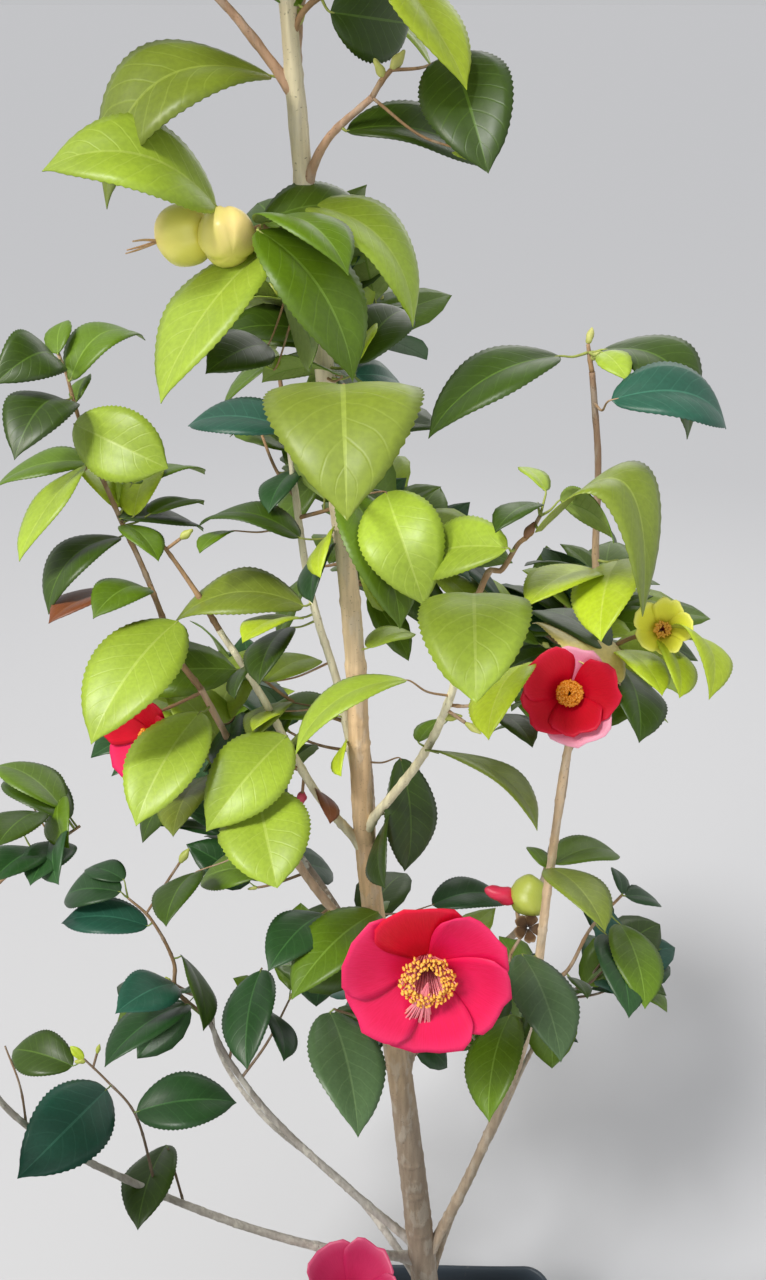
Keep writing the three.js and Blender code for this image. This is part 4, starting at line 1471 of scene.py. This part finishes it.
# Petals: tone, length as a share of the radius, and degrees round the axis
# The open flower's one red petal, at the top, is painted shade on a pink flower: the inside of that
# petal lies in shade
OPEN_FLOWER = (
    ("pink", 1.02, 270), ("pink", 1.0, 338), ("pink", 1.0, 212),
    ("pink", 1.0, 36), ("red", 1.0, 98), ("pink", 1.03, 158),
)
CUP_FLOWER = (
    ("red", 1.0, 12), ("red", 1.02, 141), ("red", 1.0, 210),
    ("red", 0.86, 288), ("blush", 1.1, 292), ("blush", 0.97, 76),
)
SIDE_FLOWER = (
    ("red", 1.0, 20), ("red", 1.02, 92), ("red", 1.0, 164), ("pink", 1.0, 236), ("pink", 1.0, 308),
)
LOW_FLOWER = (
    ("rose", 1.0, 350), ("rose", 0.97, 195), ("rose", 1.0, 270), ("rose", 1.02, 58), ("rose", 1.0, 122),
)
YELLOW_CUP = (
    ("yellow", 1.0, 10), ("yellow", 1.08, 150), ("yellow", 0.95, 290),
    ("yellow", 1.05, 80), ("yellow", 1.0, 220),
)
EXTRA_FLOWERS = {
    "bough_back_centre": CUP_FLOWER,
    "bough_back_left": LOW_FLOWER,
    "bough_back_right": OPEN_FLOWER,
    "bough_front_low": LOW_FLOWER,
    "bough_back_low_right": CUP_FLOWER,
    "bough_back_low_left": OPEN_FLOWER,
}
EXTRA_RADIUS = 35 * MM
EXTRA_CUP = 17 * MM
EXTRA_NECK = 46 * MM
EXTRA_TRIES = 160
CALYX_PLACE = (528, 928)
CALYX_RADIUS = 10.5 * MM
CALYX_CUP = 9 * MM


def room_for_flower(name, rng):
    """A seat on a limb and a flower centre that the front view doesn't show, or None."""
    points = PATHS[name][0]
    outward = Vector((points[-1].x + 0.08, points[-1].y, 0)).normalized()
    hours = [Vector((math.cos(k * math.pi / 6), 0, math.sin(k * math.pi / 6))) for k in range(12)]
    for i in range(EXTRA_TRIES):
        seat = points[-1 - i % 24]
        turn = i * GOLDEN_ANGLE
        around = Vector((math.cos(turn), math.sin(turn), rng.uniform(-0.5, 0.7)))
        centre = seat + (outward + 0.7 * around).normalized() * EXTRA_NECK
        rings = [centre + hour * EXTRA_RADIUS * ring for hour in hours for ring in (0.4, 0.8, 1.2)]
        if all(hidden(point, (), BACK_HIDDEN_SHARE) for point in (centre, *rings)) and in_box(centre):
            return seat, centre
    return None


def make_blossom():
    """Every flower, with petals, filaments and anthers joined each kind apart."""
    rng = random.Random(SEED + 100)
    flower_on("bough_front_flower", (397, 988), (427, 970), 52, 23, OPEN_FLOWER, rng, 50, count=150,
              spread=0.86, facing=(0.0, -0.97, 0.25), stamen=0.31, hollow=0.14, tails=22)
    flower_on("stem_right", (606, 665), (569, 693), 27, 20, CUP_FLOWER, rng, 30, count=200, spread=1.05,
              facing=(-0.1, -0.84, 0.52), stamen=0.24, hollow=0.0)
    flower_on("low_flower_spur", (352, 1256), (350, 1299), 47, 34, LOW_FLOWER, rng, 40, count=80,
              facing=(0.0, -0.4, 0.92))
    flower_on("long_left_side", (132, 722), (150, 737), 34, 18, SIDE_FLOWER, rng, 8, count=50,
              facing=(-0.5, -0.85, 0.15), stamen=0.18)
    flower_on("right_bud", (644, 634), (662, 630), 16, 15, YELLOW_CUP, rng, 16, count=30,
              facing=(-0.15, -0.75, 0.62), stamen=0.26)
    for name, tones in EXTRA_FLOWERS.items():
        place = room_for_flower(name, rng)
        if place:
            flower(*place, EXTRA_RADIUS, EXTRA_CUP, tones, rng, count=60)
    calyx = seen_at(*CALYX_PLACE, to_picture(PATHS["bud_stalk"][0][-1])[2] - 6 * MM)
    ring_of_sepals(calyx, (EYE - calyx).normalized(), CALYX_RADIUS, CALYX_CUP, 0.62, "brown", rng)
    finishes = [petal_finish(*row) for row in PETAL_FINISHES.values()]
    piece = as_piece("petals", mesh_of(PETALS, "petals"), finishes)
    wall = piece.modifiers.new("thickness", "SOLIDIFY")
    wall.thickness = PETAL_THICKNESS
    wall.offset = 0.0
    thread = petal_finish("filament", "#EE949C", "#CC5A6A", "#F4C8A0", 0.1, 0.2)
    as_piece("filaments", swept("filaments", FILAMENTS, 1), [thread])
    gold = dusty_finish("anther_gold", "#D98A1E", "#F6C65A", 900.0, 0.5, 0.3, amount=0.8)
    as_piece("anthers", mesh_of(ANTHERS, "anthers"), [gold])


# Fruit

# Picture place, radius in mm, mm nearer than the spur, the way it points, and its dry styles
CAPSULES = (
    ((185, 235), 14.4, 0, (-0.9, -0.3, -0.15), 3),
    ((227, 237), 13.6, 9, (0.25, -0.85, -0.45), 0),
)
SEAM_DEPTH = 0.09
SEAM_WIDTH = 0.2
FRUIT_STALK = 1.5 * MM
STYLE_REACH = 11 * MM
STYLE_FLICK = 5 * MM


def capsule(bm, centre, axis, radius, key):
    """One round capsule with three faint seams, turned and dented by its key."""
    aim = axis.to_track_quat("Z", "Y").to_matrix()
    for vertex in bmesh.ops.create_uvsphere(bm, u_segments=36, v_segments=22, radius=1.0)["verts"]:
        turn = math.atan2(vertex.co.y, vertex.co.x)
        seam = abs(math.sin(1.5 * turn + key))
        dent = SEAM_DEPTH * math.exp(-(seam / SEAM_WIDTH) ** 2) * (1 - abs(vertex.co.z) ** 6)
        lump = 1 - dent + 0.05 * noise.noise(vertex.co * 1.6 + Vector((key, 0, 0)))
        vertex.co = centre + aim @ (vertex.co * radius * lump)


def dry_style(tip, axis, rng):
    """A thin dry thread from the capsule's tip, as its points and radii."""
    flick = Vector((rng.uniform(-1, 1), rng.uniform(-1, 1), rng.uniform(-1, 1))) * STYLE_FLICK
    end = tip + axis * STYLE_REACH + flick
    points = smooth_path([tip - axis * 2 * MM, tip.lerp(end, 0.5) + flick * 0.3, end], 2 * MM)
    return points, [max(0.3, 0.8 - 0.06 * k) * MM for k in range(len(points))]


def make_fruit():
    """Two round capsules with faint seams, a calyx and dry styles."""
    rng = random.Random(SEED + 200)
    bm = bmesh.new()
    styles = []
    seat = nearest_on("fruit_spur", 243, 232)
    depth = to_picture(seat)[2]
    for (px, py), wide, near, pointing, tails in CAPSULES:
        radius = wide * MM
        centre = seen_at(px, py, depth - near * MM)
        axis = Vector(pointing).normalized()
        capsule(bm, centre, axis, radius, px)
        styles += [dry_style(centre + axis * radius, axis, rng) for _ in range(tails)]
        base = centre - axis * radius * 0.96
        straight_stalk(seat, base, 2 * MM, FRUIT_STALK)
        ring_of_sepals(base - axis * 0.5 * MM, axis, radius * 0.55, radius * 0.3, 0.66, "green", rng,
                       notch=0.0, reflex=0.0)
    skin = dusty_finish("fruit_skin", "#F6EC74", "#F2C89A", 500.0, 0.2, 0.4, (1.5, 1.9), 0.8,
                        Coat_Weight=0.3, Coat_Roughness=0.25)
    as_piece("fruit_capsules", mesh_of(bm, "fruit_capsules"), [skin])
    dry = finish_of("dry_style", "bark", {
        "Low": colour("#C9A878"), "Middle": colour("#C9A878"), "High": colour("#BE9466"),
        "Flaking": 0.2}, 0.4, 0.3)
    as_piece("fruit_styles", swept("fruit_styles", styles, 1), [dry])


# Buds

# Finishes: name, base colour, bloom on it, grain, bump and its depth; the brown one's level and amount
BUD_FINISHES = {
    "green": ("bud_green", "#A8B24A", "#D8CF8E", 400.0, 0.4, 0.4),
    "pink": ("bud_pink", "#D2264A", "#F0839A", 400.0, 0.4, 0.4),
    "brown": ("bud_brown", "#7A4E34", "#B98F6A", 400.0, 0.6, 0.5, (3.0, 4.0), 0.6),
}
BUD_NUMBER = {tone: number for number, tone in enumerate(BUD_FINISHES)}
BUDS = bmesh.new()

# Small buds: limb, base and tip in picture pixels, length and width in mm, tone, mm nearer at the tip
FRONT_BUDS = (
    ("trunk", (304, 24), (306, 6), 13, 7, "green", 0),
    ("top_right_tip", (391, 70), (398, 60), 11, 6, "green", 0),
    ("top_right_tip", (384, 80), (378, 66), 9, 5, "green", 2),
    ("right_tip", (588, 346), (590, 336), 9, 5, "green", 0),
    ("right_tip", (594, 360), (602, 350), 8, 5, "green", 2),
    ("mid_right_tip", (524, 538), (530, 530), 10, 6, "brown", 2),
    ("bough_mid_right", (440, 716), (462, 716), 13, 6, "green", 6),
    ("bough_mid_right", (444, 708), (470, 726), 12, 5, "green", 8),
    ("mid_left_tip", (166, 550), (184, 536), 10, 6, "green", 3),
    ("left_lower_tip", (180, 880), (188, 850), 14, 8, "green", 2),
    ("low_left_side", (86, 1061), (72, 1062), 10, 6, "green", 0),
    ("low_left_side", (94, 1066), (98, 1050), 9, 5, "green", 2),
    ("long_left_tip", (72, 470), (54, 494), 12, 6, "brown", 2),
    ("bough_mid_left", (300, 775), (302, 797), 11, 8, "pink", -12),
)

# The large buds on the bud stalk: base and tip in picture pixels, length and width in mm, tone
LARGE_BUDS = (
    ((529, 914), (530, 878), 30, 36, "green"),
    ((516, 899), (481, 888), 25, 16, "pink"),
)
STALKED_FROM = 14 * MM
TIP_BUD_SHARE = 0.7
TIP_BUD_LENGTH = 10 * MM
TIP_BUD_WIDTH = 4.6 * MM


def bud(seat, axis, length, wide, tone):
    """A pointed bud with softly twisted sides, from a sphere drawn out along its axis."""
    aim = axis.to_track_quat("Z", "Y").to_matrix()
    made = bmesh.ops.create_uvsphere(BUDS, u_segments=12, v_segments=10, radius=1.0)["verts"]
    for vertex in made:
        t = (vertex.co.z + 1) / 2
        turn = math.atan2(vertex.co.y, vertex.co.x)
        half = wide / 2 * (1 - 0.45 * t) * (1 + 0.14 * math.cos(2 * turn + 9 * t))
        vertex.co = seat + aim @ Vector((vertex.co.x * half, vertex.co.y * half, t * length))
    for face in {f for v in made for f in v.link_faces}:
        face.material_index = BUD_NUMBER[tone]


def make_buds():
    """The buds at the shoot and twig tips, and the two large ones beside the right stem."""
    rng = random.Random(SEED + 300)
    for limb, base, tip, length, wide, tone, near in FRONT_BUDS:
        seat = nearest_on(limb, *base)
        aim = seen_at(*tip, to_picture(seat)[2] - near * MM) - seat
        if aim.length > STALKED_FROM:
            start = seat + aim * 0.8
            straight_stalk(seat, start, STALK_STEP, 1.1 * MM)
            seat = start
        bud(seat, aim.normalized(), length * MM, wide * MM, tone)
    stalk_end = PATHS["bud_stalk"][0][-1]
    depth = to_picture(stalk_end)[2]
    for base, tip, length, wide, tone in LARGE_BUDS:
        seat = seen_at(*base, depth - 4 * MM)
        aim = (seen_at(*tip, depth - 9 * MM) - seat).normalized()
        straight_stalk(stalk_end, seat, 2 * MM, 1.6 * MM)
        bud(seat, aim, length * MM, wide * MM, tone)
    for place, axis, share in BUD_PLACES:
        if rng.random() < TIP_BUD_SHARE:
            bud(place, axis, TIP_BUD_LENGTH * share, TIP_BUD_WIDTH * share, "green")
    bmesh.ops.recalc_face_normals(BUDS, faces=BUDS.faces)
    finishes = [dusty_finish(*row) for row in BUD_FINISHES.values()]
    as_piece("buds", mesh_of(BUDS, "buds"), finishes)


def make_twigs():
    """Shoots and stalks, joined in two pieces."""
    shoots = [PATHS[name] for name in SHOOTS]
    bark = bark_finish("twig_bark", "#7D6A56", "#A0805C", "#A98660", 0.2, 0.9, 1.3)
    as_piece("twigs", swept("twigs", shoots + LINES["twigs"], 2), [bark])
    green = finish_of("petiole_green", "bark", {
        "Low": colour("#6E8A44"), "Middle": colour("#8DA04A"), "High": colour("#A8B45A"),
        "Flake": colour("#B8C07A"), "Flaking": 0.2}, 0.2, 0.3)
    as_piece("petioles", swept("petioles", LINES["petioles"], 1), [green])


# Pot and soil

def rounded_square(bm, half, corner, cuts):
    """A flat square face with round corners and cut-up sides."""
    made = bmesh.ops.create_grid(bm, x_segments=1, y_segments=1, size=half)["verts"]
    bmesh.ops.bevel(bm, geom=made, offset=corner, offset_type="OFFSET", segments=8, profile=0.5,
                    affect="VERTICES", material=-1)
    long_edges = [e for e in bm.edges if e.calc_length() > corner]
    bmesh.ops.subdivide_edges(bm, edges=long_edges, cuts=cuts)
    return next(iter(bm.faces))


def step_face(bm, face, scale, height):
    """Draws the face out to a new size and height, and gives the new face; only the first one stays."""
    is_first = len(bm.faces) == 1
    made = bmesh.ops.extrude_face_region(bm, geom=[face])["geom"]
    moved = next(item for item in made if isinstance(item, bmesh.types.BMFace))
    if not is_first:
        bmesh.ops.delete(bm, geom=[face], context="FACES_ONLY")
    for vertex in moved.verts:
        vertex.co = Vector((vertex.co.x * scale, vertex.co.y * scale, height))
    return moved


def pot_half(height):
    return POT_FOOT + (POT_TOP - POT_FOOT) * height / POT_HEIGHT


def soil_half(height):
    return pot_half(height) - POT_WALL - SOIL_GAP


# The ribs' heights and depth, and the rim's section as (below its top, in from its outer side)
RIB_HEIGHTS = (24, 90, 160, 226)
RIB_DEPTH = 0.9
RIM_SECTION = ((5, 0), (1.4, 0.2), (0.3, 1.2), (0, 2.2), (0.3, 3.4), (1.6, 4.2))
SIDE_CUTS = 14

# The thin wall's unevenness, which grows with the height
FLEX = 2.2 * MM
FLEX_WAVES = 9
FLEX_FROM = 30 * MM
FLEX_RISE = 250 * MM

# Edges at corners sharper than this break the shading
SHARP_ANGLE = math.radians(50)


def pot_levels():
    """The wall's profile from the foot, over the rolled rim, to the inner floor, in millimetres."""
    rim_foot = POT_HEIGHT - RIM_HEIGHT
    levels = [(0, pot_half(0) - 2), (0.8, pot_half(0) - 0.4), (2.4, pot_half(2.4))]
    for height in RIB_HEIGHTS:
        side = pot_half(height)
        levels += [(height, side), (height + 1.5, side + RIB_DEPTH), (height + 5, side + RIB_DEPTH)]
        levels += [(height + 6.5, pot_half(height + 6.5))]
    levels += [(rim_foot - 3, pot_half(rim_foot))]
    levels += [(rim_foot, RIM_HALF - 1.2), (rim_foot + 1.6, RIM_HALF - 0.2)]
    levels += [(POT_HEIGHT - below, RIM_HALF - inward) for below, inward in RIM_SECTION]
    levels += [(POT_HEIGHT - 7, pot_half(POT_HEIGHT) - POT_WALL)]
    levels += [(rim_foot - 4, pot_half(rim_foot) - POT_WALL)]
    levels += [(height, pot_half(height) - POT_WALL) for height in (200, 120, 40, POT_FLOOR)]
    return levels


def make_pot():
    """The nursery pot: flexed walls, ribs, rolled rim and drain holes."""
    levels = pot_levels()
    bm = bmesh.new()
    half = levels[0][1]
    face = rounded_square(bm, half * MM, (POT_CORNER - 6) * MM, SIDE_CUTS)
    for height, wide in levels[1:]:
        face = step_face(bm, face, wide / half, height * MM)
        half = wide
    for vertex in bm.verts:
        x, y, z = vertex.co
        share = clamp((z - FLEX_FROM) / FLEX_RISE, 0, 1)
        flex = noise.noise(Vector((x * FLEX_WAVES, y * FLEX_WAVES, 2.0))) * FLEX * share
        outward = Vector((x, y, 0))
        if outward.length > 50 * MM:
            vertex.co += outward.normalized() * flex
    bmesh.ops.recalc_face_normals(bm, faces=bm.faces)
    plastic = dusty_finish("pot_plastic", "#2E3841", "#857E73", 700.0, 0.35, 0.4, (0.0, 0.24), 0.45)
    pot = as_piece("nursery_pot", mesh_of(bm, "nursery_pot"), [plastic], ["pot"])
    cut_drains(pot)
    mark_sharp_edges(pot.data)


def cut_drains(pot):
    """Cuts the four drain holes out of the pot's floor."""
    cutters = bmesh.new()
    for side, end in ((-1, -1), (-1, 1), (1, -1), (1, 1)):
        place = Matrix.Translation((side * DRAIN_OFFSET * MM, end * DRAIN_OFFSET * MM, 0))
        bmesh.ops.create_cone(cutters, cap_ends=True, segments=24, radius1=DRAIN_RADIUS * MM,
                              radius2=DRAIN_RADIUS * MM, depth=4 * POT_FLOOR * MM, matrix=place)
    cutter = linked("drain_cutter", mesh_of(cutters, "drain_cutter"))
    cut = pot.modifiers.new("drain", "BOOLEAN")
    cut.object = cutter
    cut.operation = "DIFFERENCE"
    cut.solver = "EXACT"
    bpy.context.view_layer.update()
    evaluated = pot.evaluated_get(bpy.context.evaluated_depsgraph_get())
    holed = bpy.data.meshes.new_from_object(evaluated)
    pot.modifiers.clear()
    pot.data = holed
    bpy.data.objects.remove(cutter)


def mark_sharp_edges(mesh):
    """Marks the edges at sharp corners, so the shading breaks there and stays smooth elsewhere."""
    bm = bmesh.new()
    bm.from_mesh(mesh)
    for edge in bm.edges:
        if len(edge.link_faces) == 2 and edge.calc_face_angle(0) > SHARP_ANGLE:
            edge.smooth = False
    bm.to_mesh(mesh)
    bm.free()


# The compost's top: rings of faces, noise scales with their heights in mm, and the rise at the trunk
SOIL_RINGS = 18
CLODS = (55, 2.6)
GRAINS = (190, 1.3)
MOUND_HEIGHT = 2.0
MOUND_WIDTH = 45 * MM

# Crumbs: count, half the field they lie in, mean radius, and the bare ring round the trunk
CRUMBS = 260
CRUMB_FIELD = 118
CRUMB_RADIUS = 1.3 * MM
BARE_RING = 24 * MM


def make_compost():
    """Lumpy compost with a low rise round the trunk."""
    bm = bmesh.new()
    half = soil_half(POT_FLOOR)
    face = rounded_square(bm, half * MM, (POT_CORNER - 9) * MM, SIDE_CUTS)
    for vertex in bm.verts:
        vertex.co.z = (POT_FLOOR + 0.4) * MM
    for height in (120, SOIL_TOP - 6, SOIL_TOP - 2):
        face = step_face(bm, face, soil_half(height) / half, height * MM)
        half = soil_half(height)
    top = []
    for i in range(1, SOIL_RINGS + 1):
        wide = soil_half(SOIL_TOP) * (1 - i / (SOIL_RINGS + 1.5))
        face = step_face(bm, face, wide / half, (SOIL_TOP - 1.5) * MM)
        top += face.verts
        half = wide
    for vertex in top:
        lump = sum(noise.noise(vertex.co * scale) * height for scale, height in (CLODS, GRAINS))
        near = math.exp(-((vertex.co.xy.length / MOUND_WIDTH) ** 2))
        vertex.co.z += (lump + MOUND_HEIGHT * near) * MM
    bmesh.ops.triangulate(bm, faces=[face])
    bmesh.ops.recalc_face_normals(bm, faces=bm.faces)
    earth = dusty_finish("compost_earth", "#604A38", "#8E7860", 260.0, 1.0, 1.6)
    as_piece("compost", mesh_of(bm, "compost"), [earth], ["soil"])


def make_crumbs():
    """Loose crumbs of bark on the compost, away from the trunk."""
    rng = random.Random(SEED + 400)
    bm = bmesh.new()
    for _ in range(CRUMBS):
        x, y = (rng.uniform(-CRUMB_FIELD, CRUMB_FIELD) for _ in range(2))
        place = Vector((x, y, SOIL_TOP + rng.uniform(-1.5, 1.5))) * MM
        if place.xy.length < BARE_RING:
            continue
        turn = Matrix.Rotation(random_turn(rng), 4, (rng.random(), rng.random(), 1))
        size = Matrix.Diagonal((rng.uniform(1, 3.4), rng.uniform(0.8, 2), rng.uniform(0.6, 1.2), 1.0))
        bmesh.ops.create_icosphere(bm, subdivisions=1, radius=CRUMB_RADIUS,
                                   matrix=Matrix.Translation(place) @ turn @ size)
    chips = dusty_finish("bark_crumbs", "#7A5A3E", "#B49C7C", 260.0, 0.8, 1.0)
    as_piece("compost_crumbs", mesh_of(bm, "compost_crumbs", False), [chips])


# Stage

FLOOR_HALF = 400.0
FLOOR_TONE = (0.53, 0.53, 0.54, 1)
SKY_TONE = (0.95, 0.96, 0.98, 1)
SKY_STRENGTH = 0.56
SUN_STRENGTH = 1.8
LAMP_AIM = Vector((-0.08, 0, 1.1))

# Lamps: place, side length, power and colour
LAMPS = {
    "key": ((-1.7, -1.0, 3.0), 0.8, 40, (1.0, 0.95, 0.86)),
    "fill": ((1.2, -2.6, 1.5), 2.4, 16, (0.92, 0.96, 1.0)),
    "back": ((0.6, 2.4, 2.2), 1.8, 14, (1.0, 0.98, 0.94)),
}


def make_floor():
    """A pale floor that meets a sky as bright as itself."""
    bm = bmesh.new()
    bmesh.ops.create_grid(bm, x_segments=1, y_segments=1, size=FLOOR_HALF)
    floor = linked("floor", mesh_of(bm, "floor"))
    paint = bpy.data.materials.new("floor_paint")
    paint.use_nodes = True
    shader = paint.node_tree.nodes["Principled BSDF"]
    shader.inputs["Base Color"].default_value = FLOOR_TONE
    shader.inputs["Roughness"].default_value = 0.9
    floor.data.materials.append(paint)


def make_lights():
    """Three soft lamps, a soft sun and an even sky."""
    for name, (place, size, power, tone) in LAMPS.items():
        light = bpy.data.lights.new(name, "AREA")
        light.size = size
        light.energy = power
        light.color = tone
        lamp = linked(name, light)
        lamp.location = place
        lamp.rotation_euler = (LAMP_AIM - Vector(place)).to_track_quat("-Z", "Y").to_euler()
    sun = bpy.data.lights.new("sun", "SUN")
    sun.energy = SUN_STRENGTH
    sun.angle = math.radians(9)
    rays = linked("sun", sun)
    rays.rotation_euler = (math.radians(24), math.radians(-22), 0)
    world = bpy.data.worlds.new("soft_sky")
    world.use_nodes = True
    world.node_tree.nodes["Background"].inputs[0].default_value = SKY_TONE
    world.node_tree.nodes["Background"].inputs[1].default_value = SKY_STRENGTH
    bpy.context.scene.world = world
    bpy.context.scene.view_settings.view_transform = "Standard"


def make_camera():
    """The camera of the photograph."""
    eye = bpy.data.cameras.new("eye")
    eye.sensor_width = SENSOR
    eye.lens = SENSOR * FOCAL / PICTURE[1]
    eye.clip_start = 0.05
    eye.clip_end = 4 * FLOOR_HALF
    camera = linked("eye", eye)
    camera.location = EYE
    camera.rotation_euler = (math.pi / 2 - PITCH, 0, 0)
    bpy.context.scene.camera = camera


make_floor()
make_lights()
make_camera()
make_bark()
make_front_leaves()
make_fruit()
make_blossom()
make_leaves()
make_buds()
make_twigs()
make_pot()
make_compost()
make_crumbs()
